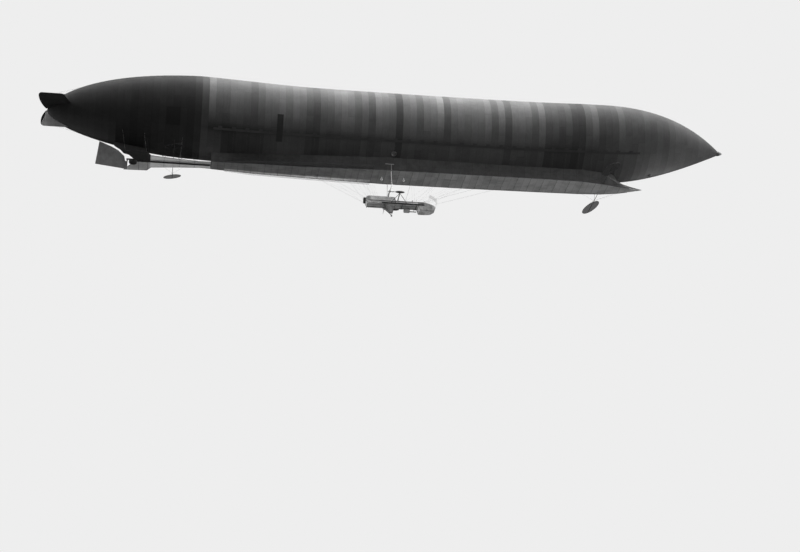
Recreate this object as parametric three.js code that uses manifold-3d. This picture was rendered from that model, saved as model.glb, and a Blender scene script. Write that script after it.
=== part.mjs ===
// A semi-rigid airship of about 1910: a 103 m cloth envelope with a keel frame close under its belly,
// a stern boom with rudder, four elevating planes on outriggers and one car with two side propellers.
// All sizes below are metres of the real airship, x to the nose, y to port and z up, from the middle
// of the envelope's axis. The last lines turn them into the millimetres of a 1:10 model.

import * as THREE from 'three';
import { mergeVertices } from 'three/addons/utils/BufferGeometryUtils.js';
import Module from 'manifold-3d';

const wasm = await Module();
wasm.setup();

const MODEL_MM_PER_METRE = 100;
const GAP = 0.004;

// Envelope
const HALF_LENGTH = 51.5;
const TAIL_LENGTH = 23.7;
const TAIL_FULLNESS = 0.6;
const TAIL_RADIUS = 6.25;
const MIDDLE_RADIUS = 5.92;
const MIDDLE_START = -10;
const NOSE_RADIUS = 6.0;
const NOSE_LENGTH = 19.2;
const NOSE_BASE = HALF_LENGTH - NOSE_LENGTH;
const TAIL_BASE = TAIL_LENGTH - HALF_LENGTH;
const WALL = 0.1;
const SAG = { half: 29, depth: 0.33, noseRise: 2.0, noseDrop: 0.37, tailRise: 0.5, tailDrop: 0.41 };
const FILLING_NECK = { x: 40, radius: 0.3 };
const STERN_SEAM_X = -27;

// Keel frame under the belly, and the boom behind it
const KEEL_TOP = -4.4;
const KEEL_AFT = -27;
const BOOM = { z: -7.55, endZ: -7.63, aft: -39.42, radius: 0.2, endRadius: 0.12 };
const RUDDER_AXIS_X = -39.3;
const BOOM_PLANE_TOP = -7.755;

// Car and its drive
const CAR_HALF_WIDTH = 0.85;
const CAR_WALL = 0.08;
const FLOOR_UNDER = -12.75;
const FLOOR_TOP = FLOOR_UNDER + CAR_WALL;
const PIT_FLOOR_TOP = -13.4;
const RAIL = { y: 0.9, z: -12.3, radius: 0.035, aft: -3.6, fore: 4.75 };
const HUB = { x: -0.63, y: 3.0, z: -11.77, radius: 0.13, length: 0.34 };
const HOUSING = { x: 0.93, halfLength: 0.68, radius: 0.18 };
const BLADE = { tip: 2.0, chord: 0.36, thickness: 0.045, pitch: 3.2 };
const GEARBOX = { x: 0.93, halfLength: 0.32, halfWidth: 0.3, top: -11.75, axleZ: -12.0 };

// Shape helpers

/** One indexed skin of a geometry: equal points merged, collapsed triangles dropped, faces outwards. */
function closed(geometry) {
  const bare = geometry.clone();
  bare.deleteAttribute('normal');
  bare.deleteAttribute('uv');
  const merged = mergeVertices(bare, 1e-5);
  const points = merged.attributes.position;
  const corners = merged.index.array;
  const kept = [];
  let sixVolumes = 0;
  const [a, b, c] = [new THREE.Vector3(), new THREE.Vector3(), new THREE.Vector3()];
  for (let t = 0; t < corners.length; t += 3) {
    const [i, j, k] = [corners[t], corners[t + 1], corners[t + 2]];
    if (i === j || j === k || k === i) continue;
    kept.push(i, j, k);
    a.fromBufferAttribute(points, i);
    b.fromBufferAttribute(points, j);
    c.fromBufferAttribute(points, k);
    sixVolumes += a.dot(b.cross(c));
  }
  merged.setIndex(sixVolumes > 0 ? kept : kept.reverse());
  return merged;
}

function asSolid(geometry) {
  const skin = closed(geometry);
  const vertProperties = new Float32Array(skin.attributes.position.array);
  const triVerts = new Uint32Array(skin.index.array);
  return new wasm.Manifold(new wasm.Mesh({ numProp: 3, vertProperties, triVerts }));
}

function asGeometry(solid) {
  const mesh = solid.getMesh();
  const geometry = new THREE.BufferGeometry();
  geometry.setAttribute('position', new THREE.BufferAttribute(mesh.vertProperties, 3));
  geometry.setIndex(new THREE.BufferAttribute(mesh.triVerts, 1));
  return geometry;
}

function join(...geometries) {
  return asGeometry(geometries.map(asSolid).reduce((whole, piece) => whole.add(piece)));
}

function cut(geometry, ...tools) {
  return asGeometry(tools.map(asSolid).reduce((rest, tool) => rest.subtract(tool), asSolid(geometry)));
}

function common(first, second) {
  return asGeometry(asSolid(first).intersect(asSolid(second)));
}

/** A round bar from one point to another; endRadius tapers it. */
function bar(from, to, radius, sides = 6, endRadius = radius) {
  const start = new THREE.Vector3(...from);
  const along = new THREE.Vector3(...to).sub(start);
  const geometry = new THREE.CylinderGeometry(endRadius, radius, along.length(), sides);
  geometry.translate(0, along.length() / 2, 0);
  const turn = new THREE.Quaternion().setFromUnitVectors(new THREE.Vector3(0, 1, 0), along.normalize());
  return geometry.applyQuaternion(turn).translate(...from);
}

/** A box given by its lowest and highest corners. */
function block(low, high) {
  const size = high.map((value, axis) => value - low[axis]);
  const middle = high.map((value, axis) => (value + low[axis]) / 2);
  return new THREE.BoxGeometry(...size).translate(...middle);
}

function outline(points) {
  return new THREE.Shape(points.map(([u, v]) => new THREE.Vector2(u, v)));
}

/** A shape drawn in plan (x, y), raised from one height to another. */
function fromPlan(shape, low, high, curveSegments = 8) {
  const options = { depth: high - low, bevelEnabled: false, curveSegments };
  return new THREE.ExtrudeGeometry(shape, options).translate(0, 0, low);
}

/** A shape drawn from the side (x, z), as wide as asked about the middle plane. */
function fromSide(shape, width, curveSegments = 8) {
  const options = { depth: width, bevelEnabled: false, curveSegments };
  return new THREE.ExtrudeGeometry(shape, options).translate(0, 0, -width / 2).rotateX(Math.PI / 2);
}

/** A profile of [radius, x] pairs turned about the x axis. */
function turned(profile, around) {
  const points = profile.map(([radius, x]) => new THREE.Vector2(radius, x));
  return new THREE.LatheGeometry(points, around).rotateZ(-Math.PI / 2);
}

/** The value of a table's column at x, on straight lines between its rows. */
function tableValue(rows, column, x) {
  const next = rows.findIndex((row) => row.x <= x);
  if (next <= 0) return rows[next === 0 ? 0 : rows.length - 1][column];
  const [fore, aft] = [rows[next - 1], rows[next]];
  return THREE.MathUtils.mapLinear(x, aft.x, fore.x, aft[column], fore[column]);
}

// Materials

const cloth = (color) => new THREE.MeshStandardMaterial({ color, roughness: 0.85, metalness: 0 });
const metal = (color, roughness) => new THREE.MeshStandardMaterial({ color, roughness, metalness: 0.6 });
const envelopeCloth = cloth('#8f8a72');
const paleCloth = cloth('#c9c4b2');
const keelCloth = cloth('#7d7868');
const paintedTube = metal('#55565a', 0.5);
const brightMetal = metal('#9a9da0', 0.35);
const darkMetal = metal('#2f3033', 0.6);
const varnishedWood = new THREE.MeshStandardMaterial({ color: '#6d4526', roughness: 0.35, metalness: 0 });

const airship = new THREE.Group();

function add(name, geometry, material, parent = airship) {
  const mesh = new THREE.Mesh(geometry, material);
  mesh.name = name;
  parent.add(mesh);
  return mesh;
}

// Envelope: a body of revolution on a slightly sagging centre line

/** Radius at x: an ogive nose, a near-cylinder, a shallow swell aft and a blunt tapering stern. */
function hullRadius(x) {
  if (x > NOSE_BASE) {
    const arc = (NOSE_RADIUS ** 2 + NOSE_LENGTH ** 2) / (2 * NOSE_RADIUS);
    return Math.sqrt(arc ** 2 - (x - NOSE_BASE) ** 2) - (arc - NOSE_RADIUS);
  }
  if (x < TAIL_BASE) {
    const toBase = (x + HALF_LENGTH) / TAIL_LENGTH;
    return TAIL_RADIUS * (1 - (1 - toBase) ** 2) ** TAIL_FULLNESS;
  }
  const [endX, endRadius] = x < MIDDLE_START ? [TAIL_BASE, TAIL_RADIUS] : [NOSE_BASE, NOSE_RADIUS];
  const toEnd = (x - MIDDLE_START) / (endX - MIDDLE_START);
  return MIDDLE_RADIUS + ((endRadius - MIDDLE_RADIUS) * (1 - Math.cos(Math.PI * toEnd))) / 2;
}

/** Height of the centre line at x: sagging amidships, the bow line raised and both tips drooping. */
function hullLift(x) {
  const beyond = (Math.abs(x) - SAG.half) / (HALF_LENGTH - SAG.half);
  if (beyond <= 0) return -SAG.depth * (1 - (x / SAG.half) ** 4);
  const [rise, drop] = x > 0 ? [SAG.noseRise, SAG.noseDrop] : [SAG.tailRise, SAG.tailDrop];
  return rise * beyond ** 2 - (rise + drop) * beyond ** 4;
}

const TAIL_STEPS = 11;
const NOSE_STEPS = 8;
const hullStations = [
  ...Array.from({ length: TAIL_STEPS }, (_, i) => TAIL_LENGTH * ((i + 1) / TAIL_STEPS) ** 2 - HALF_LENGTH),
  -21, -14, -7, 0, 7, 14, 21, 27,
  ...Array.from({ length: NOSE_STEPS }, (_, i) => NOSE_BASE + (NOSE_LENGTH * i) / NOSE_STEPS),
];

/** The envelope's form grown or shrunk by an offset along its normal, closed at two tips. */
function hullForm(offset, stations, around, tailTip, noseTip) {
  const step = 0.01;
  const ring = (x) => {
    const slope = (hullRadius(x + step) - hullRadius(x - step)) / (2 * step);
    return [hullRadius(x) + offset * Math.hypot(1, slope), x];
  };
  const form = turned([[0, tailTip], ...stations.map(ring), [0, noseTip]], around);
  const points = form.attributes.position;
  for (let i = 0; i < points.count; i += 1) {
    const x = THREE.MathUtils.clamp(points.getX(i), -HALF_LENGTH, HALF_LENGTH);
    points.setZ(i, points.getZ(i) + hullLift(x));
  }
  return form;
}

const HULL_SIDES = 48;
const hullOuter = hullForm(0, hullStations, HULL_SIDES, -HALF_LENGTH, HALF_LENGTH);
const hullClearance = hullForm(GAP, hullStations, HULL_SIDES, -HALF_LENGTH - 0.02, HALF_LENGTH + 0.02);

/** The cloth shell, in two parts that meet at the ring seam ahead of the stern. */
function makeEnvelope() {
  const innerStations = hullStations.slice(2, -1);
  const gasSpace = hullForm(-WALL, innerStations, 32, -51.1, 50.2);
  const neckHole = bar([FILLING_NECK.x, 0, -6], [FILLING_NECK.x, 0, -4], FILLING_NECK.radius, 16);
  const shell = cut(hullOuter, gasSpace, neckHole);
  const ahead = block([STERN_SEAM_X, -7, -8], [HALF_LENGTH + 1, 7, 8]);
  const behind = block([-HALF_LENGTH - 1, -7, -8], [STERN_SEAM_X - GAP, 7, 8]);
  add('envelope', common(shell, ahead), envelopeCloth);
  add('envelope_stern', common(shell, behind), envelopeCloth);
}

function makeNoseCap() {
  const cap = turned([[0, 50.9], [0.36, 50.9], [0.3, 51.3], [0.16, 51.68], [0, 51.68]], 24);
  cap.translate(0, 0, hullLift(HALF_LENGTH - 0.3));
  add('nose_mooring_cap', cut(cap, hullClearance), brightMetal);
}

function makeGasValves() {
  const fromBelow = THREE.MathUtils.degToRad(30);
  const [inner, outer] = [5.8, 6.0];
  for (const [side, sign] of [['port', 1], ['starboard', -1]]) {
    const [aside, down] = [sign * Math.sin(fromBelow), Math.cos(fromBelow)];
    const at = (radius) => [0, aside * radius, hullLift(0) - down * radius];
    add(`gas_valve_${side}`, cut(bar(at(inner), at(outer), 0.42, 20), hullClearance), brightMetal);
  }
}

// Stern fins: four lobes around the envelope's tip, drawn by distance from the axis

function finLobe({ reach, aft, waist, tipFore, rootFore }) {
  const lobe = new THREE.Shape();
  lobe.moveTo(rootFore, 1.4);
  lobe.lineTo(tipFore, reach - 0.25);
  lobe.quadraticCurveTo(tipFore - 0.2, reach, tipFore - 0.6, reach);
  lobe.lineTo(aft + 0.55, reach);
  lobe.quadraticCurveTo(aft, reach, aft, reach * 0.82);
  lobe.quadraticCurveTo(waist, reach * 0.4, -51.6, 0.35);
  lobe.lineTo(-50.4, 0.35);
  return lobe;
}

function makeSternFins() {
  const top = { reach: 2.75, aft: -52.5, waist: -52.45, tipFore: -48.6, rootFore: -48.1 };
  const bottom = { reach: 2.7, aft: -52.1, waist: -51.7, tipFore: -48.2, rootFore: -47.9 };
  const level = { reach: 5.15, aft: -52.55, waist: -52.5, tipFore: -48.9, rootFore: -47.6 };
  const fins = [
    ['stern_fin_top', top, 0, paleCloth],
    ['stern_fin_port', level, -90, envelopeCloth],
    ['stern_fin_bottom', bottom, 180, paleCloth],
    ['stern_fin_starboard', level, 90, envelopeCloth],
  ];
  for (const [name, lobe, degrees, material] of fins) {
    const fin = fromSide(finLobe(lobe), 0.12, 5).rotateX(THREE.MathUtils.degToRad(degrees));
    add(name, cut(fin.translate(0, 0, hullLift(-50)), hullClearance), material);
  }
}

// Keel frame: cloth over a frame, flat below, its top cut to the belly

const keelRows = [
  { x: 38.6, halfWidth: 0.02, under: -7.46 },
  { x: 36.8, halfWidth: 0.55, under: -7.62 },
  { x: 35.2, halfWidth: 1.05, under: -7.73 },
  { x: 32.5, halfWidth: 1.7, under: -7.74 },
  { x: 29, halfWidth: 2.12, under: -7.69 },
  { x: 23, halfWidth: 2.28, under: -7.73 },
  { x: 11, halfWidth: 2.35, under: -7.87 },
  { x: -1, halfWidth: 2.35, under: -7.95 },
  { x: -13.6, halfWidth: 1.8, under: -8.0 },
  { x: -21, halfWidth: 1.6, under: -7.92 },
  { x: KEEL_AFT, halfWidth: 1.2, under: -7.8 },
];

function keelForm(grow) {
  const port = keelRows.map(({ x, halfWidth }) => [x, halfWidth + grow]);
  const starboard = keelRows.map(({ x, halfWidth }) => [x, -halfWidth - grow]).reverse();
  const bottom = keelRows.map(({ x, under }) => [x, under - grow]);
  const prow = [[33.4, KEEL_TOP], [34.2, -6.4], [35.2, -7.1], [36.8, -7.28], [38.6, -7.38]];
  const plan = fromPlan(outline([...port, ...starboard]), -9, -4);
  const side = fromSide(outline([...bottom, [KEEL_AFT, KEEL_TOP], ...prow]), 8);
  return common(plan, side);
}

const keelClearance = keelForm(GAP);

function makeKeel() {
  add('keel_frame', cut(keelForm(0), hullClearance), keelCloth);
  const widths = [[-25, 0.35], [-21, 0.8], [-13.6, 1.0], [-3, 0.9]];
  const rows = widths.map(([x, width]) => [x, tableValue(keelRows, 'halfWidth', x), width]);
  for (const [side, sign] of [['port', 1], ['starboard', -1]]) {
    const inner = rows.map(([x, halfWidth]) => [x, sign * (halfWidth + GAP)]);
    const outer = rows.map(([x, halfWidth, width]) => [x, sign * (halfWidth + width)]).reverse();
    add(`keel_edge_plane_${side}`, fromPlan(outline([...inner, ...outer]), -7.84, -7.78), paleCloth);
  }
}

// Stern boom with its fixed planes and the rudder

/** The tapered boom, thicker by what is asked for. */
function boomTube(grow) {
  const start = [KEEL_AFT - GAP, 0, BOOM.z];
  return bar(start, [BOOM.aft, 0, BOOM.endZ], BOOM.radius + grow, 10, BOOM.endRadius + grow);
}

const boomClearance = boomTube(GAP);

/** The boom, its swallow-tailed plane with a round casing below it, its fin, and the rudder. */
function makeSternBoom() {
  const lug = bar([RUDDER_AXIS_X, 0, BOOM.endZ], [RUDDER_AXIS_X, 0, -7.95], 0.09, 10);
  add('stern_boom', join(boomTube(0), lug), paintedTube);

  const planRows = [
    [KEEL_AFT - GAP, 1.1], [-28.6, 1.0], [-31.6, 1.3], [-35.8, 1.9],
    [-36.4, 2.95], [-39.8, 3.1], [-38.3, 0.5],
  ];
  const mirrored = planRows.map(([x, halfWidth]) => [x, -halfWidth]).reverse();
  const plate = fromPlan(outline([...planRows, ...mirrored]), -7.81, BOOM_PLANE_TOP);
  const casing = bar([-38.45, 0, -8.25], [-38.45, 0, -7.79], 0.6, 20);
  add('boom_plane', join(plate, casing), paleCloth);

  const finPoints = [
    [-36.2, -4], [-36.65, -6.45], [-35.95, -7.6], [-38.3, -7.6], [-38.3, -7.1],
    [-38.9, -6.95], [-39.9, -6.7], [-40.4, -6.15], [-41.3, -5.6], [-41.6, -4],
  ];
  add('boom_fin', cut(fromSide(outline(finPoints), 0.1), hullClearance, boomClearance), keelCloth);

  const stockTop = -7.95 - GAP;
  const bladePoints = [
    [RUDDER_AXIS_X, -9.22], [RUDDER_AXIS_X, -8.05], [-39.62, -7.95], [-39.78, -7.2],
    [-40.7, -6.3], [-41.6, -5.8], [-43.45, -5.0], [-43.9, -8.7],
  ];
  const stock = bar([RUDDER_AXIS_X, 0, -9.22], [RUDDER_AXIS_X, 0, stockTop], 0.06, 10);
  add('rudder', join(fromSide(outline(bladePoints), 0.08), stock), paleCloth);
}

// Elevating planes: lens-shaped blades turning on the ends of tube outriggers

const elevators = [
  {
    place: 'front', carrier: 'keel', x: 32.2, z: -7.6, rootY: 4.65,
    halfSpan: 2.0, halfChord: 1.4, pitch: 25,
  },
  {
    place: 'aft', carrier: 'boom', x: -32.57, z: -7.57, rootY: 4.35,
    halfSpan: 0.65, halfChord: 1.3, pitch: 10,
  },
];

function makeElevators() {
  for (const { place, x, z, rootY, halfSpan, halfChord, pitch, carrier } of elevators) {
    for (const [side, sign] of [['port', 1], ['starboard', -1]]) {
      const arm = bar([x, sign * 0.05, z], [x, sign * (rootY - GAP), z], 0.04, 8);
      const strut = bar([x, sign * (rootY - 0.4), z], [x, sign * (rootY - 2.3), -3.5], 0.025, 6);
      const tools = carrier === 'keel' ? [keelClearance, hullClearance] : [boomClearance, hullClearance];
      add(`${place}_outrigger_${side}`, cut(join(arm, strut), ...tools), paintedTube);

      const blade = new THREE.Shape().absellipse(0, 0, halfChord, halfSpan, 0, 2 * Math.PI, false, 0);
      const middleY = sign * (rootY + halfSpan);
      const plate = fromPlan(blade, -0.025, 0.025, 10).translate(0, middleY, 0);
      const spar = bar([0, sign * rootY, 0], [0, sign * (rootY + 1.9 * halfSpan), 0], 0.04, 8);
      const turnedUp = join(plate, spar).rotateY(-THREE.MathUtils.degToRad(pitch));
      add(`elevator_${place}_${side}`, turnedUp.translate(x, 0, z), paleCloth);
    }
  }
}

// Car: a shallow boat with high sides aft and a lower pit in the bow

const carPlan = [
  [-3.85, 0.7], [-3.3, CAR_HALF_WIDTH], [5.0, CAR_HALF_WIDTH],
  [6.0, 0.68], [6.5, 0.4], [6.66, 0.12],
];

function carOutline(inset) {
  const port = carPlan.map(([x, halfWidth], i) => {
    const forward = i === 0 ? inset : -inset * (i > 2);
    return [x + forward, halfWidth - inset];
  });
  return outline([...port, ...port.map(([x, halfWidth]) => [x, -halfWidth]).reverse()]);
}

const carSide = [
  [-3.55, FLOOR_UNDER], [3.95, FLOOR_UNDER], [4.15, -13.48], [5.9, -13.48], [6.45, -13.25],
  [6.66, -12.65], [6.6, -12.55], [4.8, -12.2], [0.55, -12.2], [0.45, -11.62],
  [-3.6, -11.6], [-3.85, -11.8], [-3.85, -12.4],
];
const carInside = [
  [-3.5, FLOOR_TOP], [4.02, FLOOR_TOP], [4.22, PIT_FLOOR_TOP], [5.86, PIT_FLOOR_TOP],
  [6.38, -13.2], [6.58, -12.6], [6.58, -11], [-3.77, -11], [-3.77, -12.36],
];
const RIM_FROM_Z = -12.6;
const carSideGrown = carSide.map(([x, z]) => [x + Math.sign(x) * GAP, z + Math.sign(z - RIM_FROM_Z) * GAP]);
const carBlank = common(fromPlan(carOutline(0), -14, -11), fromSide(outline(carSide), 2));
const carClearance = common(fromPlan(carOutline(-GAP), -14, -11), fromSide(outline(carSideGrown), 2));

function makeCar() {
  const room = common(fromPlan(carOutline(CAR_WALL), -14, -10.9), fromSide(outline(carInside), 2));
  add('car_hull', cut(carBlank, room), keelCloth);

  const onFloor = FLOOR_TOP + GAP;
  const engines = [['engine_aft', -3.3, -1.95], ['engine_fore', 1.7, 3.0]];
  for (const [name, aft, fore] of engines) {
    add(name, block([aft, -0.3, onFloor], [fore, 0.3, -11.78]), darkMetal);
  }
  const gearbox = block(
    [GEARBOX.x - GEARBOX.halfLength, -GEARBOX.halfWidth, onFloor],
    [GEARBOX.x + GEARBOX.halfLength, GEARBOX.halfWidth, GEARBOX.top],
  );
  add('gearbox', gearbox, darkMetal);
  add('radiator_fore', block([3.1, -0.42, onFloor], [3.24, 0.42, -11.72]), brightMetal);
  add('radiator_aft', block([-4.2, -0.36, -12.38], [-3.85 - GAP, 0.36, -11.66]), darkMetal);

  const cradle = [3.6, 4.0].map((x) => block([x, -0.2, onFloor], [x + 0.06, 0.2, -12.3]));
  add('fuel_tank', join(bar([3.4, 0, -12.15], [4.3, 0, -12.15], 0.28, 16), ...cradle), brightMetal);

  add('air_fan', block([-1.75, -0.25, onFloor], [-1.15, 0.25, -12.1]), paleCloth);
  makeSilencer();
}

/** The silencer: a drum under the floor, its flanged down pipe, a tail pipe and the hanger of that. */
function makeSilencer() {
  const y = 0.35;
  const floorGap = FLOOR_UNDER - GAP;
  const flange = bar([2.2, y, floorGap - 0.1], [2.2, y, floorGap], 0.14, 10);
  const downPipe = bar([2.2, y, -12.8], [2.2, y, -13.1], 0.1, 10);
  const drum = bar([1.9, y, -13.2], [2.85, y, -13.2], 0.28, 16);
  const tailPipe = bar([2.8, y, -13.28], [3.82, y, -13.28], 0.1, 10);
  const hanger = bar([3.4, y, -13.28], [3.4, y, floorGap], 0.03, 6);
  add('exhaust_silencer', join(drum, flange, downPipe, tailPipe, hanger), darkMetal);
}

function makeControls() {
  const [x, face] = [5.6, 0.24];
  const stand = block([x, -face, PIT_FLOOR_TOP + GAP], [x + 0.14, face, -12.55]);
  add('control_stand', stand, darkMetal);
  const wheel = (radius, tube) => {
    const rim = new THREE.TorusGeometry(radius, tube, 6, 16);
    const spokes = [0, 60, 120].map((degrees) => {
      const angle = THREE.MathUtils.degToRad(degrees);
      const [u, v] = [radius * Math.cos(angle), radius * Math.sin(angle)];
      return bar([-u, -v, 0], [u, v, 0], tube * 0.7, 5);
    });
    return join(rim, ...spokes, bar([0, 0, -0.05], [0, 0, 0.05], 0.05, 8));
  };
  const rudderWheel = wheel(0.24, 0.02).rotateY(Math.PI / 2).translate(x - 0.05 - GAP, 0, -12.75);
  add('rudder_wheel', rudderWheel, varnishedWood);
  const elevatorWheel = wheel(0.2, 0.02).rotateX(Math.PI / 2).translate(x + 0.07, face + 0.05 + GAP, -12.8);
  add('elevator_wheel', elevatorWheel, varnishedWood);
}

function makeBowScreen() {
  const screen = new THREE.Shape();
  screen.moveTo(6.53, -12.62);
  screen.bezierCurveTo(7.15, -12.0, 7.0, -11.0, 5.75, -10.72);
  screen.lineTo(5.75, -10.76);
  screen.bezierCurveTo(6.95, -11.05, 7.05, -12.0, 6.47, -12.62);
  add('bow_screen', cut(fromSide(screen, 0.9, 8), carClearance), paleCloth);
}

// Suspension: steel stays from a rail along each side of the car up to the keel

const stayRows = [
  { carX: -3.5, keelX: -11.5 },
  { carX: -3.3, keelX: -6.5 },
  { carX: -1.9, keelX: -3.4 },
  { carX: 2.0, keelX: 3.2 },
  { carX: 3.4, keelX: 7.2 },
  { carX: 4.5, keelX: 12.0 },
  { carX: 4.65, keelX: 17.5 },
];

function makeSuspension() {
  for (const [side, sign] of [['port', 1], ['starboard', -1]]) {
    const rail = bar([RAIL.aft, sign * RAIL.y, RAIL.z], [RAIL.fore, sign * RAIL.y, RAIL.z], RAIL.radius, 6);
    const stays = stayRows.map(({ carX, keelX }) => {
      return bar([carX, sign * RAIL.y, RAIL.z], [keelX, sign * 1.25, -7.5], 0.016, 5);
    });
    add(`suspension_${side}`, cut(join(rail, ...stays), keelClearance), paintedTube);
  }
}

// Drive: a gear housing on an outrigger each side, with the propeller on a short shaft behind it

function makeDrives() {
  for (const [side, sign] of [['port', 1], ['starboard', -1]]) {
    const y = sign * HUB.y;
    const { x, halfLength, radius } = HOUSING;
    const spindle = [
      [0, x - halfLength], [0.09, x - halfLength], [radius, x - 0.3], [radius, x + 0.3],
      [0.09, x + halfLength - 0.08], [0, x + halfLength],
    ];
    const shaftEnd = HUB.x + HUB.length / 2 + GAP;
    const shaft = bar([shaftEnd, 0, 0], [x, 0, 0], 0.05, 10);
    const bearing = bar([-0.3, 0, 0], [-0.1, 0, 0], 0.09, 10);
    const housing = join(turned(spindle, 16), shaft, bearing).translate(0, y, HUB.z);
    add(`gear_housing_${side}`, housing, darkMetal);

    const housingClearance = bar([x - halfLength, y, HUB.z], [x + halfLength, y, HUB.z], radius + GAP, 16);
    const bearingClearance = bar([-0.4, y, HUB.z], [0, y, HUB.z], 0.09 + GAP, 10);
    const clear = GEARBOX.halfWidth + GAP;
    const gearboxClearance = block([x - 0.2, -clear, GEARBOX.axleZ - 0.2], [x + 0.2, clear, HUB.z]);
    const crossTube = bar([x, sign * 0.2, GEARBOX.axleZ], [x, y, HUB.z], 0.07, 10);
    const struts = [2.3, -0.15].map((carX) => {
      return bar([carX, sign * 0.7, -12.52], [x, sign * (HUB.y - 0.32), HUB.z - 0.02], 0.035, 6);
    });
    const carrier = cut(join(crossTube, ...struts), housingClearance, carClearance, gearboxClearance);
    add(`drive_outrigger_${side}`, carrier, paintedTube);
    const stay = bar([-0.2, y, HUB.z], [-0.3, sign * 2.1, -7.5], 0.04, 6);
    add(`hub_stay_${side}`, cut(stay, bearingClearance, keelClearance), paintedTube);
    makePropeller(side, sign);
  }
}

/** Two leaf-shaped wooden blades, twisted so that their pitch stays even, on a round hub. */
function makePropeller(side, sign) {
  const leaf = new THREE.Shape();
  const half = BLADE.chord / 2;
  leaf.moveTo(0.05, -0.06);
  leaf.bezierCurveTo(0.57, -0.05, 0.74, -half * 1.35, 1.4, -half);
  leaf.quadraticCurveTo(1.92, -half * 0.7, BLADE.tip, 0);
  leaf.quadraticCurveTo(1.92, half * 0.7, 1.4, half);
  leaf.bezierCurveTo(0.74, half * 1.35, 0.57, 0.05, 0.05, 0.06);
  const options = { depth: BLADE.thickness, bevelEnabled: false, curveSegments: 6 };
  const blade = new THREE.ExtrudeGeometry(leaf, options).translate(0, 0, -BLADE.thickness / 2);
  const points = blade.attributes.position;
  for (let i = 0; i < points.count; i += 1) {
    const [span, chord, deep] = [points.getX(i), points.getY(i), points.getZ(i)];
    const turn = sign * Math.atan2(BLADE.pitch, 2 * Math.PI * Math.max(span, 0.4));
    const across = chord * Math.cos(turn) - deep * Math.sin(turn);
    const forward = chord * Math.sin(turn) + deep * Math.cos(turn);
    points.setXYZ(i, forward, span, across);
  }
  const hub = bar([-HUB.length / 2, 0, 0], [HUB.length / 2, 0, 0], HUB.radius, 14);
  const nose = bar([-HUB.length / 2, 0, 0], [-HUB.length / 2 - 0.14, 0, 0], HUB.radius, 14, 0.05);
  const opposite = closed(blade).rotateX(Math.PI);
  const whole = join(closed(blade), opposite, hub, nose);
  add(`propeller_${side}`, whole.translate(HUB.x, sign * HUB.y, HUB.z), varnishedWood);
}

// Landing pyramid: four legs under the car that meet in one foot

function makeLandingPyramid() {
  const [apexX, apexZ, footZ] = [0.05, -14.25, -14.38];
  const [aft, fore, halfWidth] = [-1.15, 0.5, 0.6];
  const top = FLOOR_UNDER - GAP;
  const corners = [[aft, halfWidth], [fore, halfWidth], [fore, -halfWidth], [aft, -halfWidth]];
  const legs = corners.map(([x, y]) => bar([x, y, top - 0.02], [apexX, 0, apexZ], 0.035, 6));
  const pads = corners.map(([x, y]) => bar([x, y, top - 0.05], [x, y, top], 0.07, 8));
  const down = 0.42;
  const ring = corners.map(([x, y]) => [
    THREE.MathUtils.lerp(x, apexX, down), y * (1 - down), THREE.MathUtils.lerp(top, apexZ, down),
  ]);
  const ringBars = ring.map((corner, i) => bar(corner, ring[(i + 1) % 4], 0.025, 6));
  const foot = bar([apexX, 0, footZ], [apexX, 0, apexZ + 0.05], 0.13, 12);
  add('landing_pyramid', join(...legs, ...pads, ...ringBars, foot), paintedTube);
}

makeEnvelope();
makeNoseCap();
makeGasValves();
makeSternFins();
makeKeel();
makeSternBoom();
makeElevators();
makeCar();
makeControls();
makeBowScreen();
makeSuspension();
makeDrives();
makeLandingPyramid();

airship.scale.setScalar(MODEL_MM_PER_METRE);

export default airship;
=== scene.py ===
"""An early semi-rigid airship as a 1:10 model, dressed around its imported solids.

Every size in this file is in metres of the real airship, x to the nose, y to port and z up from the
middle of the envelope's axis. MODEL turns them into the metres of the model when a piece is made.
"""

import math

import bmesh
import bpy
import numpy as np
from mathutils import Matrix, Vector


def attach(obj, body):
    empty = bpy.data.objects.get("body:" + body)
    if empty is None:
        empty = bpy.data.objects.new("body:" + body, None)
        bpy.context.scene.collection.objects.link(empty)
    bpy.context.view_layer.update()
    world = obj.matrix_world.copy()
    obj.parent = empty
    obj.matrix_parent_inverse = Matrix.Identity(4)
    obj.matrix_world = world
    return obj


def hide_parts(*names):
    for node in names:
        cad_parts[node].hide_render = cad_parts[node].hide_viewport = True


bl_info = {
    "name": "Early semi-rigid airship",
    "version": (1, 0, 0),
    "blender": (4, 5, 0),
    "location": "View3D > Sidebar > Airship",
    "description": "Builds the cloth, frames, car, drive and rigging of a 1:10 model airship",
    "category": "Add Mesh",
}

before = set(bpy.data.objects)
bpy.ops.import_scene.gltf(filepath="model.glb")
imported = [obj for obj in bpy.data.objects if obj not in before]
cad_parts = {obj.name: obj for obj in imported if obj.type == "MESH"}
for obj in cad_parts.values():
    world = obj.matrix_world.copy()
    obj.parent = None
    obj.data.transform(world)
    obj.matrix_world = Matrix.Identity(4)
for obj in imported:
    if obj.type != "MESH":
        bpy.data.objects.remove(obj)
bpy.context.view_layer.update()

MODEL = 0.1
SIDES = (("port", 1), ("starboard", -1))
SIGNS = (1, -1)
AHEAD, ABEAM, UP, DOWN = (1, 0, 0), (0, 1, 0), (0, 0, 1), (0, 0, -1)
HULL = "airframe"


# Shapes: points, faces and one UV pair per face corner, all as numpy arrays


class Shape:
    """Points (n, 3) with lists of face arrays (k, corners) and of UV arrays (k, corners, 2)."""

    def __init__(self, points, faces, uvs):
        self.points = np.asarray(points, float)
        self.faces = faces
        self.uvs = uvs

    def moved(self, offset):
        return Shape(self.points + np.asarray(offset, float), self.faces, self.uvs)

    def turned(self, degrees, axis, about=(0, 0, 0)):
        turn = np.array(Matrix.Rotation(math.radians(degrees), 3, Vector(axis)))
        about = np.asarray(about, float)
        return Shape((self.points - about) @ turn.T + about, self.faces, self.uvs)


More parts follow.
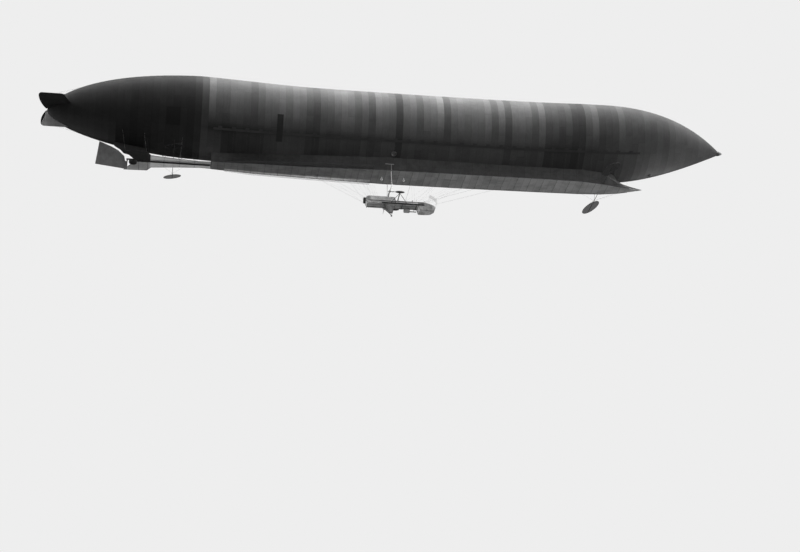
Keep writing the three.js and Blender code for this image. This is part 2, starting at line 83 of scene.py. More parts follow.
def joined(shapes):
    """Several shapes as one, each keeping its own points."""
    shapes = list(shapes)
    starts = np.cumsum([0] + [len(shape.points) for shape in shapes])
    faces = [f + start for shape, start in zip(shapes, starts) for f in shape.faces]
    return Shape(np.vstack([s.points for s in shapes]), faces, [uv for s in shapes for uv in s.uvs])


def surface(points, wrap=True, u=None, v=None):
    """Quads over a grid of points (rows, columns, 3). The last column joins the first when wrap is set.

    u and v give the UV value of each row and of each column; they count up from 0 when left out."""
    rows, columns = points.shape[:2]
    u = np.arange(rows, dtype=float) if u is None else np.asarray(u, float)
    v = np.arange(columns + 1, dtype=float) if v is None else np.asarray(v, float)
    i, j = np.meshgrid(np.arange(rows - 1), np.arange(columns if wrap else columns - 1), indexing="ij")
    i, j = i.ravel(), j.ravel()
    k = (j + 1) % columns
    quads = np.stack([i * columns + j, i * columns + k, (i + 1) * columns + k, (i + 1) * columns + j], 1)
    uvs = np.stack([u[[i, i, i + 1, i + 1]].T, v[[j, j + 1, j + 1, j]].T], 2)
    return Shape(points.reshape(-1, 3), [quads], [uvs])


def unit(vectors):
    vectors = np.asarray(vectors, float)
    return vectors / np.linalg.norm(vectors, axis=-1, keepdims=True)


def across(directions):
    """Two unit vectors square to each direction, the first as level as it can be."""
    directions = unit(directions)
    steep = np.abs(directions[..., 2:3]) > 0.95
    reference = np.where(steep, [1.0, 0.0, 0.0], [0.0, 0.0, 1.0])
    first = unit(np.cross(directions, reference))
    return first, np.cross(directions, first)


def circle(count, start=0.0):
    angles = start + 2 * np.pi * np.arange(count) / count
    return np.cos(angles), np.sin(angles)


def bars(starts, ends, radius, sides=6, end_radius=None):
    """Round bars between pairs of points: a ring of radius r square to the bar at each end, closed."""
    starts, ends = np.atleast_2d(np.asarray(starts, float)), np.atleast_2d(np.asarray(ends, float))
    starts, ends = np.broadcast_arrays(starts, ends)
    first, second = across(ends - starts)
    cosine, sine = circle(sides)
    ring = first[:, None] * cosine[None, :, None] + second[:, None] * sine[None, :, None]
    end_radius = radius if end_radius is None else end_radius
    rows = [(starts, 0), (starts, radius), (ends, end_radius), (ends, 0)]
    grids = np.stack([middle[:, None] + ring * size for middle, size in rows], 1)
    lengths = np.linalg.norm(ends - starts, axis=1)
    turn = 2 * np.pi * radius * np.arange(sides + 1) / sides
    return joined(surface(g, u=[0, 0, length, length], v=turn) for g, length in zip(grids, lengths))


def capped(grid):
    """A grid of points with a row at each end that is one point, in the middle of the end row."""
    ends = [grid[i].mean(0)[None, None] + np.zeros((1, grid.shape[1], 3)) for i in (0, -1)]
    return np.concatenate([ends[0], grid, ends[1]])


def tube(path, radius, sides=8, closed=False):
    """A round tube along a path (n, 3): circles of the given radius square to the path's tangent."""
    path = np.asarray(path, float)
    radius = np.broadcast_to(np.asarray(radius, float), len(path))
    if closed:
        tangents = np.roll(path, -1, 0) - np.roll(path, 1, 0)
    else:
        tangents = np.gradient(path, axis=0)
    spread = path.max(0) - path.min(0)
    reference = np.eye(3)[int(np.argmin(spread))]
    first = unit(np.cross(tangents, reference))
    second = unit(np.cross(tangents, first))
    cosine, sine = circle(sides)
    ring = first[:, None] * cosine[None, :, None] + second[:, None] * sine[None, :, None]
    grid = path[:, None] + ring * radius[:, None, None]
    along = np.concatenate([[0], np.cumsum(np.linalg.norm(np.diff(path, axis=0), axis=1))])
    turn = 2 * np.pi * radius.max() * np.arange(sides + 1) / sides
    if closed:
        return surface(np.concatenate([grid, grid[:1]]), u=np.append(along, along[-1]), v=turn)
    ends = [np.repeat(path[i][None, None], sides, 1) for i in (0, -1)]
    u = np.concatenate([[0], along, along[-1:]])
    return surface(np.concatenate([ends[0], grid, ends[1]]), u=u, v=turn)


def lathe(profile, origin=(0, 0, 0), axis=AHEAD, sides=24):
    """A profile of [radius, distance] pairs turned about an axis through origin.

    The profile starts and ends at radius 0."""
    profile = np.asarray(profile, float)
    radius, distance = profile.T
    axis = unit(axis)
    first, second = across(axis[None])
    cosine, sine = circle(sides)
    ring = first * cosine[:, None] + second * sine[:, None]
    middles = np.asarray(origin, float) + axis * distance[:, None]
    grid = middles[:, None] + ring[None] * radius[:, None, None]
    along = np.concatenate([[0], np.cumsum(np.linalg.norm(np.diff(profile, axis=0), axis=1))])
    return surface(grid, u=along, v=np.arange(sides + 1) * radius.max() * 2 * np.pi / sides)


def rounded_box(low, high, radius=0.02, steps=3):
    """A box whose edges are rounded: the points of a small sphere, pushed out to the box's eight corners."""
    low, high = np.asarray(low, float), np.asarray(high, float)
    half, middle = (high - low) / 2, (high + low) / 2
    radius = min(radius, half.min() * 0.99)
    quarter = np.linspace(0, np.pi / 2, steps)
    turn = np.concatenate([quarter + k * np.pi / 2 for k in range(4)])
    side_x = np.repeat([1, -1, -1, 1], steps)
    side_y = np.repeat([1, 1, -1, -1], steps)
    rise = np.concatenate([quarter - np.pi / 2, quarter])
    side_z = np.repeat([-1, 1], steps)
    inner = half - radius
    x = side_x * inner[0] + radius * np.cos(turn) * np.cos(rise)[:, None]
    y = side_y * inner[1] + radius * np.sin(turn) * np.cos(rise)[:, None]
    z = (side_z * inner[2] + radius * np.sin(rise))[:, None] + np.zeros_like(x)
    body = np.stack([x, y, z], -1)
    caps = [np.zeros((1, len(turn), 3)) + [0, 0, sign * half[2]] for sign in (-1, 1)]
    return surface(np.concatenate([caps[0], body, caps[1]]) + middle)


def side_boxes(low, high, radius):
    """The rounded box given, and the like one on the other side of the middle plane."""
    flipped_low = (low[0], -high[1], low[2])
    flipped_high = (high[0], -low[1], high[2])
    return [rounded_box(low, high, radius), rounded_box(flipped_low, flipped_high, radius)]


def torus(middle, axis, radius, thickness, around=32, sides=8):
    """A ring: a circle of the given radius about an axis, as a closed tube."""
    first, second = across(unit(axis)[None])
    cosine, sine = circle(around)
    return tube(np.asarray(middle) + radius * (first * cosine[:, None] + second * sine[:, None]),
                thickness, sides, closed=True)


def plane_surface(stations, fore, aft, thickness, place, ribs=0.0, columns=40, relief=0.25):
    """A cloth-covered plane: at each station its section is a flat oval, chord from aft to fore.

    The oval's half thickness is thickness/2 |sin a|^0.4; ribs, a pitch, makes it stand a little
    proud over each rib. place turns (chord, station, height) arrays into points."""
    angles = 2 * np.pi * np.arange(columns) / columns
    chord = (1 - np.cos(angles)) / 2
    height = np.sign(np.sin(angles)) * np.abs(np.sin(angles)) ** 0.4 * thickness / 2
    size = np.ones(len(stations))
    if ribs:
        size = 1 + relief * np.abs(np.cos(np.pi * stations / ribs)) ** 12 - relief / 2
    size[0] = size[-1] = 0.0
    along = aft[:, None] + (fore - aft)[:, None] * chord[None]
    grid = place(along, np.broadcast_to(stations[:, None], along.shape), height[None] * size[:, None])
    return surface(np.stack(grid, -1), u=stations, v=np.append(chord, 0) * np.ptp(np.append(fore, aft)))


def doubled_ends(values):
    """The values with the first and the last given twice, so that a surface can close flat there."""
    return np.concatenate([values[:1], values, values[-1:]])


def mirrored(half, middle=0.0):
    """A lathe's profile from its first half: [radius, distance] pairs and their mirror image."""
    return half + tuple((radius, 2 * middle - distance) for radius, distance in half[::-1])


def tube_through(corners, radius, per_side=6, sides=8):
    """A closed tube through a ring of corners, each side cut into short steps."""
    corners = np.asarray(corners, float)
    steps = np.linspace(0, 1, per_side, endpoint=False)[None, :, None]
    path = corners[:, None] * (1 - steps) + np.roll(corners, -1, 0)[:, None] * steps
    return tube(path.reshape(-1, 3), radius, sides, closed=True)


def line_of(x, y, z):
    """Points at each x that share one y and one z."""
    x = np.asarray(x, float)
    return np.stack([x, np.full(len(x), float(y)), np.full(len(x), float(z))], 1)


def round_places(middle, radius, count):
    """Points evenly round a level circle."""
    cosine, sine = circle(count)
    return np.asarray(middle, float) + radius * np.stack([cosine, sine, 0 * cosine], 1)


def table(rows, x, column=1):
    """A column of a table at x, on straight lines between its rows."""
    rows = np.array(sorted(map(tuple, rows)), float)
    return np.interp(x, rows[:, 0], rows[:, column])


def curve(points, count=20):
    """Points along a smooth curve, each the sum of the control points by their binomial weights at t."""
    points = np.asarray(points, float)
    t = np.linspace(0, 1, count)[:, None]
    degree = len(points) - 1
    return sum(math.comb(degree, i) * t**i * (1 - t) ** (degree - i) * points[i] for i in range(degree + 1))


def put(name, shape, material, slot, *replaced, body=HULL, angle=40, face_values=None):
    """A finished mesh object in the model's metres: welded, faces outwards, riding on a body."""
    name = name.replace(" ", "_")
    mesh = bpy.data.meshes.new(name)
    faces = [face for block in shape.faces for face in block.tolist()]
    mesh.from_pydata((shape.points * MODEL).tolist(), [], faces)
    uv = mesh.uv_layers.new(name="UVMap")
    uv.data.foreach_set("uv", np.concatenate([u.ravel() for u in shape.uvs]).astype(np.float32))
    for key, values in (face_values or {}).items():
        mesh.attributes.new(key, "FLOAT", "FACE").data.foreach_set("value", values.astype(np.float32))
    work = bmesh.new()
    work.from_mesh(mesh)
    bmesh.ops.remove_doubles(work, verts=work.verts, dist=2e-6)
    bmesh.ops.recalc_face_normals(work, faces=work.faces)
    work.to_mesh(mesh)
    work.free()
    mesh.polygons.foreach_set("use_smooth", np.ones(len(mesh.polygons), bool))
    mesh.set_sharp_from_angle(angle=math.radians(angle))
    mesh.materials.append(material)
    piece = bpy.data.objects.new(name, mesh)
    bpy.context.scene.collection.objects.link(piece)
    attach(piece, body)
    if replaced:
        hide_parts(*replaced)
    return piece


# The envelope's form

HALF_LENGTH = 51.5
TAIL_BASE, NOSE_BASE = -27.8, 32.3
MIDDLE_START = -10.0
TAIL_RADIUS, MIDDLE_RADIUS, NOSE_RADIUS = 6.25, 5.92, 6.0
TAIL_FULLNESS = 0.6
PANEL = 1.03


def hull_radius(x):
    """Radius at x: an ogive arc to the nose, cosine eases amidships, (1 - t^2)^0.6 to the tail."""
    x = np.clip(np.asarray(x, float), -HALF_LENGTH, HALF_LENGTH)
    nose_length = HALF_LENGTH - NOSE_BASE
    arc = (NOSE_RADIUS**2 + nose_length**2) / (2 * NOSE_RADIUS)
    nose = np.sqrt(arc**2 - np.maximum(x - NOSE_BASE, 0) ** 2) - (arc - NOSE_RADIUS)
    to_base = np.clip((x + HALF_LENGTH) / (TAIL_BASE + HALF_LENGTH), 0, 1)
    tail = TAIL_RADIUS * np.maximum(1 - (1 - to_base) ** 2, 0) ** TAIL_FULLNESS
    end = np.where(x < MIDDLE_START, TAIL_BASE, NOSE_BASE)
    end_radius = np.where(x < MIDDLE_START, TAIL_RADIUS, NOSE_RADIUS)
    ease = (1 - np.cos(np.pi * (x - MIDDLE_START) / (end - MIDDLE_START))) / 2
    middle = MIDDLE_RADIUS + (end_radius - MIDDLE_RADIUS) * ease
    return np.where(x > NOSE_BASE, nose, np.where(x < TAIL_BASE, tail, middle))


def hull_lift(x):
    """Height of the centre line: a slight sag amidships, both ends raised and their tips drooping."""
    x = np.asarray(x, float)
    half, sag = 29.0, 0.33
    beyond = np.maximum((np.abs(x) - half) / (HALF_LENGTH - half), 0)
    rise, drop = np.where(x > 0, 2.0, 0.5), np.where(x > 0, 0.37, 0.41)
    middle = -sag * (1 - np.minimum(np.abs(x) / half, 1) ** 4)
    return np.where(beyond > 0, rise * beyond**2 - (rise + drop) * beyond**4, middle)


def on_hull(x, from_below, offset=0.0):
    """Points on the envelope at x and an angle in degrees from straight below, to port when positive."""
    angle = np.radians(from_below)
    radius = hull_radius(x) + offset
    x, y = np.broadcast_arrays(np.asarray(x, float), radius * np.sin(angle))
    return np.stack([x, y, hull_lift(x) - radius * np.cos(angle)], -1)


# Materials: small trees of nodes


class Tree:
    """Adds nodes to a tree. An input given a socket is linked, and one given a value is set."""

    def __init__(self, tree):
        self.tree = tree

    def add(self, kind, inputs=None, **settings):
        node = self.tree.nodes.new(kind if kind.startswith("NodeGroup") else "ShaderNode" + kind)
        for key, value in settings.items():
            setattr(node, key, value)
        self.feed(node, inputs or {})
        return node

    def feed(self, node, inputs):
        for key, value in inputs.items():
            if isinstance(value, bpy.types.NodeSocket):
                self.tree.links.new(value, node.inputs[key])
            else:
                node.inputs[key].default_value = value

    def mix_in(self, shader, other, share):
        """Puts a share of another shader over the material's own on its way to the output."""
        surface_socket = self.tree.nodes["Material Output"].inputs["Surface"]
        mixed = self.add("MixShader", {0: share, 1: shader.outputs[0], 2: other})
        self.tree.links.new(mixed.outputs[0], surface_socket)

    def math(self, operation, *values, clamp=False):
        return self.add("Math", dict(enumerate(values)), operation=operation, use_clamp=clamp).outputs[0]

    def noise(self, vector, scale, detail=4.0, roughness=0.6):
        inputs = {"Vector": vector, "Scale": scale, "Detail": detail, "Roughness": roughness}
        return self.add("TexNoise", inputs).outputs["Fac"]

    def stretched(self, vector, scale):
        """The vector times a scale along each axis."""
        return self.add("Mapping", {"Vector": vector, "Scale": scale}, vector_type="POINT").outputs[0]

    def between(self, value, low, high, to_low=0.0, to_high=1.0, smooth=True):
        inputs = {"Value": value, "From Min": low, "From Max": high, "To Min": to_low, "To Max": to_high}
        kind = "SMOOTHSTEP" if smooth else "LINEAR"
        return self.add("MapRange", inputs, interpolation_type=kind).outputs["Result"]

    def shade(self, color, factor):
        """The colour times a changing factor."""
        inputs = {"Factor": 1.0, 6: color, 7: factor}
        return self.add("Mix", inputs, data_type="RGBA", blend_type="MULTIPLY").outputs[2]

    def toned(self, factor, mask, clean, full):
        """The factor times a value that goes from clean to full as the mask goes from 0 to 1."""
        return self.math("MULTIPLY", factor, self.between(mask, 0.0, 1.0, clean, full))

    def bump(self, height, strength, distance):
        return self.add("Bump", {"Height": height, "Strength": strength, "Distance": distance}).outputs[0]

    def group(self, group, inputs):
        """The outputs of a node group placed in the tree."""
        return self.add("Group", inputs, node_tree=group).outputs


def node_group(name, inputs, outputs, build):
    """A shader node group with named sockets, made once; build(tree, in_sockets) returns its outputs."""
    if name in bpy.data.node_groups:
        return bpy.data.node_groups[name]
    group = bpy.data.node_groups.new(name, "ShaderNodeTree")
    for socket, kind in inputs:
        group.interface.new_socket(socket, in_out="INPUT", socket_type="NodeSocket" + kind)
    for socket in outputs:
        group.interface.new_socket(socket, in_out="OUTPUT", socket_type="NodeSocketFloat")
    tree = Tree(group)
    entry = tree.add("NodeGroupInput")
    exit_node = tree.add("NodeGroupOutput")
    for socket, value in build(tree, entry.outputs).items():
        group.links.new(value, exit_node.inputs[socket])
    return group


def sewn_panels():
    """Bolts of cloth sewn side by side: a random tone for each piece and a mask for the seams."""

    def build(tree, entry):
        axes = tree.add("SeparateXYZ", {0: entry["Vector"]}).outputs
        column = tree.math("FLOOR", axes[0])
        shift = tree.add("TexWhiteNoise", {"W": column}, noise_dimensions="1D").outputs["Value"]
        run = tree.math("ADD", tree.math("DIVIDE", axes[1], entry["Piece Length"]), shift)
        row = tree.math("FLOOR", run)
        cell = tree.add("CombineXYZ", {0: column, 1: row}).outputs[0]
        tone = tree.add("TexWhiteNoise", {"Vector": cell}, noise_dimensions="2D").outputs["Value"]
        seams = []
        for value, width in ((axes[0], entry["Seam"]), (run, tree.math("DIVIDE", entry["Seam"], 6.0))):
            off_middle = tree.math("ABSOLUTE", tree.math("SUBTRACT", tree.math("FRACT", value), 0.5))
            seams.append(tree.between(off_middle, tree.math("SUBTRACT", 0.5, width), 0.5))
        return {"Tone": tone, "Seam": tree.math("MAXIMUM", *seams)}

    sockets = [("Vector", "Vector"), ("Piece Length", "Float"), ("Seam", "Float")]
    return node_group("Sewn panels", sockets, ("Tone", "Seam"), build)


def weathered():
    """Blotches of dirt and long faint streaks, both from 0 to 1."""

    def build(tree, entry):
        blotch = tree.noise(entry["Vector"], entry["Blotches"], 6.0)
        drawn = tree.stretched(entry["Vector"], (6.0, 6.0, 0.6))
        streak = tree.noise(drawn, entry["Streaks"], 3.0)
        return {"Dirt": tree.between(blotch, 0.35, 0.7), "Streak": tree.between(streak, 0.35, 0.65)}

    sockets = [("Vector", "Vector"), ("Blotches", "Float"), ("Streaks", "Float")]
    return node_group("Weathered", sockets, ("Dirt", "Streak"), build)


def woven():
    """Height of a plain weave: two crossed sine ridges, the count given per unit of the vector."""

    def build(tree, entry):
        axes = tree.add("SeparateXYZ", {0: entry["Vector"]}).outputs
        ridges = []
        for axis in axes[:2]:
            wave = tree.math("SINE", tree.math("MULTIPLY", axis, entry["Threads"]))
            ridges.append(tree.math("MULTIPLY", wave, 0.25))
        return {"Height": tree.math("ADD", tree.math("ADD", *ridges), 0.5)}

    return node_group("Woven", [("Vector", "Vector"), ("Threads", "Float")], ("Height",), build)


def handled():
    """Scuffs and oil on metal or wood: a fine bright mask and a broad dark one."""

    def build(tree, entry):
        scuff = tree.noise(tree.stretched(entry["Vector"], (1.0, 1.0, 4.0)), entry["Scuffs"], 8.0, 0.7)
        oil = tree.noise(entry["Vector"], entry["Oil"], 3.0)
        return {"Scuff": tree.between(scuff, 0.58, 0.75), "Oil": tree.between(oil, 0.45, 0.7)}

    sockets = [("Vector", "Vector"), ("Scuffs", "Float"), ("Oil", "Float")]
    return node_group("Handled", sockets, ("Scuff", "Oil"), build)


def new_material(name):
    """A material with an empty Principled shader; returns it, its tree and the shader."""
    material = bpy.data.materials.new(name)
    material.use_nodes = True
    tree = Tree(material.node_tree)
    return material, tree, material.node_tree.nodes["Principled BSDF"]


def grey(value):
    return (value, value, value, 1.0)


THREADS = 620.0
WOOD_LAYERS = 1080.0


def made_once(make):
    """A maker of materials that returns the one of that name when there is one."""
    return lambda name, *values, **options: bpy.data.materials.get(name) or make(name, *values, **options)


@made_once
def cloth(name, tone, dirt=0.2, through=0.0, seam_pitch=0.0, alpha=1.0, by_face=False):
    """Doped cloth: weave and faint wrinkles in relief, dirt in blotches, and some light let through.

    seam_pitch, in metres of the UV map, darkens the cloth along evenly spaced seams. by_face
    takes a further factor for the tone from the mesh, which carries painted shade and light on the keel
    and the car, and alpha makes an open weave."""
    material, tree, shader = new_material(name)
    place = tree.add("TexCoord").outputs["Object"]
    uv = tree.add("TexCoord").outputs["UV"]
    worn = tree.group(weathered(), {"Vector": place, "Blotches": 7.0, "Streaks": 24.0})
    weave = tree.group(woven(), {"Vector": uv, "Threads": THREADS})["Height"]
    factor = tree.between(worn["Dirt"], 0.0, 1.0, 1.0, 1.0 - dirt)
    factor = tree.toned(factor, worn["Streak"], 1.0, 1.0 - dirt / 2)
    height = tree.math("ADD", tree.math("MULTIPLY", weave, 0.15), tree.noise(place, 30.0))
    if seam_pitch:
        by_seams = tree.stretched(uv, (1 / seam_pitch, 1.0, 1.0))
        seams = tree.group(sewn_panels(), {"Vector": by_seams, "Piece Length": 50.0, "Seam": 0.03})
        factor = tree.toned(factor, seams["Tone"], 0.93, 1.05)
        factor = tree.toned(factor, seams["Seam"], 1.0, 0.72)
        height = tree.math("ADD", height, seams["Seam"])
    if by_face:
        factor = tree.math("MULTIPLY", factor, tree.add("Attribute", attribute_name="tone").outputs["Fac"])
    color = tree.shade(grey(tone), factor)
    bump = tree.bump(height, 0.25, 0.0006)
    tree.feed(shader, {"Base Color": color, "Roughness": 0.75, "Specular IOR Level": 0.15,
                       "Normal": bump, "Alpha": alpha})
    if through:
        behind = tree.add("BsdfTranslucent", {"Color": color, "Normal": bump}).outputs[0]
        tree.mix_in(shader, behind, through)
    return material


def envelope_cloth(tone):
    """Rubbered cotton: pieces of random tone with seams, streaks and dirt, further toned by the mesh,
    whose tones carry painted shade and painted light.
    """
    material, tree, shader = new_material("Rubbered cotton")
    uv = tree.add("TexCoord").outputs["UV"]
    place = tree.add("TexCoord").outputs["Object"]
    panels = tree.group(sewn_panels(), {"Vector": uv, "Piece Length": 9.3, "Seam": 0.035})
    worn = tree.group(weathered(), {"Vector": place, "Blotches": 2.6, "Streaks": 9.0})
    weave = tree.group(woven(), {"Vector": uv, "Threads": THREADS})["Height"]
    factor = tree.add("Attribute", attribute_name="tone").outputs["Fac"]
    for mask, clean, full in ((panels["Tone"], 0.93, 1.07), (panels["Seam"], 1.0, 0.8),
                              (worn["Dirt"], 1.0, 0.86), (worn["Streak"], 1.0, 0.93)):
        factor = tree.toned(factor, mask, clean, full)
    wrinkle = tree.noise(tree.stretched(place, (1.0, 3.0, 3.0)), 11.0)
    height = tree.math("ADD", tree.math("MULTIPLY", weave, 0.1), wrinkle)
    height = tree.math("ADD", height, tree.math("MULTIPLY", panels["Seam"], 0.5))
    sheen = tree.math("MULTIPLY", factor, 0.12)
    tree.feed(shader, {"Base Color": tree.shade(grey(tone), factor), "Roughness": 0.68,
                       "Specular IOR Level": sheen, "Normal": tree.bump(height, 0.2, 0.0012)})
    return material


@made_once
def metal(name, tone, roughness=0.4, metallic=1.0, scuffed=0.5, coat=0.0):
    """Metal or enamel: scuffs bare and brighten it, oil darkens it, and fine grain breaks its shine."""
    material, tree, shader = new_material(name)
    place = tree.add("TexCoord").outputs["Object"]
    worn = tree.group(handled(), {"Vector": place, "Scuffs": 55.0, "Oil": 14.0})
    factor = tree.between(worn["Scuff"], 0.0, 1.0, 1.0, 1.0 + scuffed)
    factor = tree.toned(factor, worn["Oil"], 1.0, 0.65)
    grain = tree.noise(place, 400.0, 2.0)
    rough = tree.math("ADD", tree.between(grain, 0.3, 0.7, roughness - 0.08, roughness + 0.1),
                      tree.math("MULTIPLY", worn["Scuff"], 0.15), clamp=True)
    tree.feed(shader, {"Base Color": tree.shade(grey(tone), factor), "Roughness": rough,
                       "Metallic": metallic, "Normal": tree.bump(grain, 0.08, 0.0004), "Coat Weight": coat})
    return material


@made_once
def wood(name, tone):
    """Varnished laminated wood: even layers bent by noise, with fine grain along y."""
    material, tree, shader = new_material(name)
    place = tree.add("TexCoord").outputs["Object"]
    axes = tree.add("SeparateXYZ", {0: place}).outputs
    bend = tree.math("MULTIPLY", tree.noise(place, 6.0), 1.4)
    layer = tree.math("SINE", tree.math("ADD", tree.math("MULTIPLY", axes[0], WOOD_LAYERS), bend))
    grain = tree.noise(tree.stretched(place, (9.0, 0.8, 9.0)), 40.0, 6.0)
    by_layer = tree.between(layer, -0.5, 0.5, 0.72, 1.1)
    factor = tree.math("MULTIPLY", by_layer, tree.between(grain, 0.3, 0.7, 0.75, 1.1))
    worn = tree.group(handled(), {"Vector": place, "Scuffs": 40.0, "Oil": 12.0})
    factor = tree.toned(factor, worn["Oil"], 1.0, 0.8)
    tree.feed(shader, {"Base Color": tree.shade(grey(tone), factor), "Roughness": 0.38,
                       "Normal": tree.bump(grain, 0.1, 0.0004), "Coat Weight": 0.5, "Coat Roughness": 0.15})
    return material


# Shared finishes: each gives a material and a slot's name


def painted_tube():
    tone = bpy.context.scene.airship_tones.tube
    return metal("Enamelled tube", tone, roughness=0.45, metallic=0.0, scuffed=0.8, coat=0.2), "painted_tube"


def dark_tube(slot="painted_tube"):
    # Near black as painted shade, for tubes and stays under the envelope's stern and keel
    return metal("Tarred tube", 0.012, roughness=0.85, metallic=0.0, scuffed=0.3), slot


def pale_enamel():
    paint = metal("Pale enamelled tube", 0.85, roughness=0.4, metallic=0.0, scuffed=0.2, coat=0.2)
    return paint, "painted_tube"


def bright_metal():
    return metal("Brushed sheet", 0.6, roughness=0.34, scuffed=0.2), "bright_metal"


def dark_metal():
    return metal("Blackened casting", 0.075, roughness=0.55, metallic=0.6, scuffed=1.2), "dark_metal"


def ground_steel():
    return metal("Ground steel", 0.45, roughness=0.3), "bright_metal"


def steel_cable():
    return metal("Steel cable", 0.3, roughness=0.4, metallic=0.9, scuffed=0.6), "painted_tube"


def pale_cloth():
    tone = bpy.context.scene.airship_tones.pale_cloth
    return cloth("Pale doped cloth", tone, through=0.35), "keel_cloth"


def keel_cloth():
    tone = bpy.context.scene.airship_tones.keel_cloth
    return cloth("Keel cloth", tone, dirt=0.22, seam_pitch=2.0, by_face=True), "keel_cloth"


# Envelope and its fittings

# Shares of the envelope's lightness, from one x to another
RING_TONES = (
    (-51.5, -38.0, 0.19), (-38.0, -29.8, 0.21), (-29.8, -28.6, 0.27), (-28.6, -27.6, 0.5),
    (-27.6, -23.5, 0.63), (-23.5, -18.0, 0.72), (-18.0, -13.4, 0.9), (-13.4, -11.2, 0.72),
    (-11.2, -6.6, 0.92), (-6.6, -5.6, 0.85), (-4.4, -3.4, 0.8), (-0.4, 0.6, 0.6),
    (3.4, 4.4, 0.9), (7.6, 8.6, 0.9), (16.6, 17.6, 0.8), (20.6, 21.6, 0.85), (22.6, 25.6, 0.7),
    (25.6, 27.2, 0.66), (27.2, 28.6, 0.5), (28.6, 32.6, 0.7), (32.6, 42.0, 0.66), (42.0, 51.5, 0.73),
)
# Rings sewn from a paler or a darker batch of cloth, counted from the tail
CLOTH_BATCHES = (
    (1.4, (23, 32, 56)),
    (1.2, (26, 31, 33, 35, 41, 42, 43, 47, 55, 59, 63, 65, 79, 83)),
    (0.82, (22, 29, 38, 39, 46, 49, 50, 53, 57, 64, 66, 70, 74, 77, 80, 81)),
)
# Factors by the angle from straight below, and the strength of each along x: where the batches show,
# a painted shade that darkens the belly, and a painted light from the ground that lightens its lowest part
BATCH_SHOWS = ((55, 0.0), (75, 1.0))
PAINTED_BELLY_SHADE = ((0, 0.72), (45, 0.62), (50, 0.46), (60, 0.8), (75, 1.0))
PAINTED_BELLY_SHADE_STRENGTH = (
    (-29.0, 0.0), (-27.0, 1.7), (-18.0, 1.3), (-8.0, 1.1), (4.0, 0.9), (14.0, 0.7), (24.0, 1.1), (34.0, 0.0),
)
PAINTED_GROUND_LIGHT = ((0, 4.0), (10, 3.3), (23, 2.2), (33, 1.7), (42, 1.4), (52, 1.08), (60, 1.0))
PAINTED_GROUND_LIGHT_STRENGTH = (
    (-49.0, 1.0), (-42.0, 0.9), (-40.5, 0.0), (-37.5, 0.0), (-36.0, 0.55), (-29.5, 0.55), (-28.0, 0.95),
    (-26.0, 0.95), (-24.8, 0.1), (-21.0, 0.1), (-19.0, 0.45), (-14.0, 0.45), (-11.0, 0.0), (33.0, 0.0),
    (35.5, 0.5), (37.5, 0.75), (40.0, 1.0), (43.0, 0.85), (46.5, 0.4), (50.0, 0.2),
)
AROUND_ENVELOPE = 160


def envelope_tones(middle, from_below):
    """A tone for each face, from the x of its ring's middle and its angle from straight below.

    It is the ring's tone, times its batch's tone where that shows, times a painted shade on the belly and a
    painted light from the ground on its lowest part, each raised to its strength at x."""
    ring_tone = np.ones(len(middle))
    for low, high, share in RING_TONES:
        ring_tone[(middle > low) & (middle < high)] = share
    number = np.round((middle + HALF_LENGTH) / PANEL - 0.5)
    batch = np.ones(len(middle))
    for share, rings in CLOTH_BATCHES:
        batch[np.isin(number, rings)] = share
    batch = batch[:, None] ** table(BATCH_SHOWS, from_below)
    # Painted shade darkens the belly, and painted light from the ground lightens its lowest part
    belly = table(PAINTED_BELLY_SHADE, from_below) ** table(PAINTED_BELLY_SHADE_STRENGTH, middle)[:, None]
    painted_glow = table(PAINTED_GROUND_LIGHT, from_below) ** table(PAINTED_GROUND_LIGHT_STRENGTH, middle)[:, None]
    return ring_tone[:, None] * batch * belly * painted_glow


def envelope_shape(sizes):
    """A body of revolution about the curved centre line, from the radius at each station, and its tones.

    Each ring of cloth swells by a parabola between its seams, and each seam has a raised tape."""
    edges = np.arange(round(2 * HALF_LENGTH / PANEL)) * PANEL - HALF_LENGTH
    within = np.array([0.0, 0.05, 0.5, 0.95]) * PANEL
    tip = PANEL * np.linspace(0, 1, 12)[:-1] ** 2
    inner = (edges[1:-1, None] + within).ravel()
    x = np.concatenate([-HALF_LENGTH + tip, inner, [edges[-1]], (HALF_LENGTH - tip)[::-1]])
    ring = (x + HALF_LENGTH) / PANEL
    part = ring - np.floor(ring + 1e-6)
    on_tape = np.isclose(ring, np.round(ring), atol=1e-4)
    relief = sizes.ring_swell * 4 * part * (1 - part) + sizes.tape_height * on_tape
    relief = relief * np.minimum(hull_radius(x), 1.0)
    angles = 360 * np.arange(AROUND_ENVELOPE) / AROUND_ENVELOPE
    arc = 2 * np.pi * MIDDLE_RADIUS * np.arange(AROUND_ENVELOPE + 1) / AROUND_ENVELOPE
    shape = surface(on_hull(x[:, None], angles[None], relief[:, None]), u=ring, v=arc)
    middle = (np.floor((ring[:-1] + ring[1:]) / 2) + 0.5) * PANEL - HALF_LENGTH
    from_below = np.abs((angles + 180 / AROUND_ENVELOPE + 180) % 360 - 180)
    return shape, envelope_tones(middle, from_below).ravel()


def fringe(x, low, high, lift, columns=8):
    """A flat cloth patch on the envelope between two angles from below, closed over its edges.

    Its end rows are doubled, so that its ends stand square on the envelope."""
    x = doubled_ends(np.asarray(x, float))
    angles = np.linspace(low, high, columns)
    lifts = np.repeat([lift, -0.02], columns)[None] * np.ones((len(x), 1))
    lifts[[0, -1]] = -0.02
    return surface(on_hull(x[:, None], np.concatenate([angles, angles[::-1]])[None], lifts))


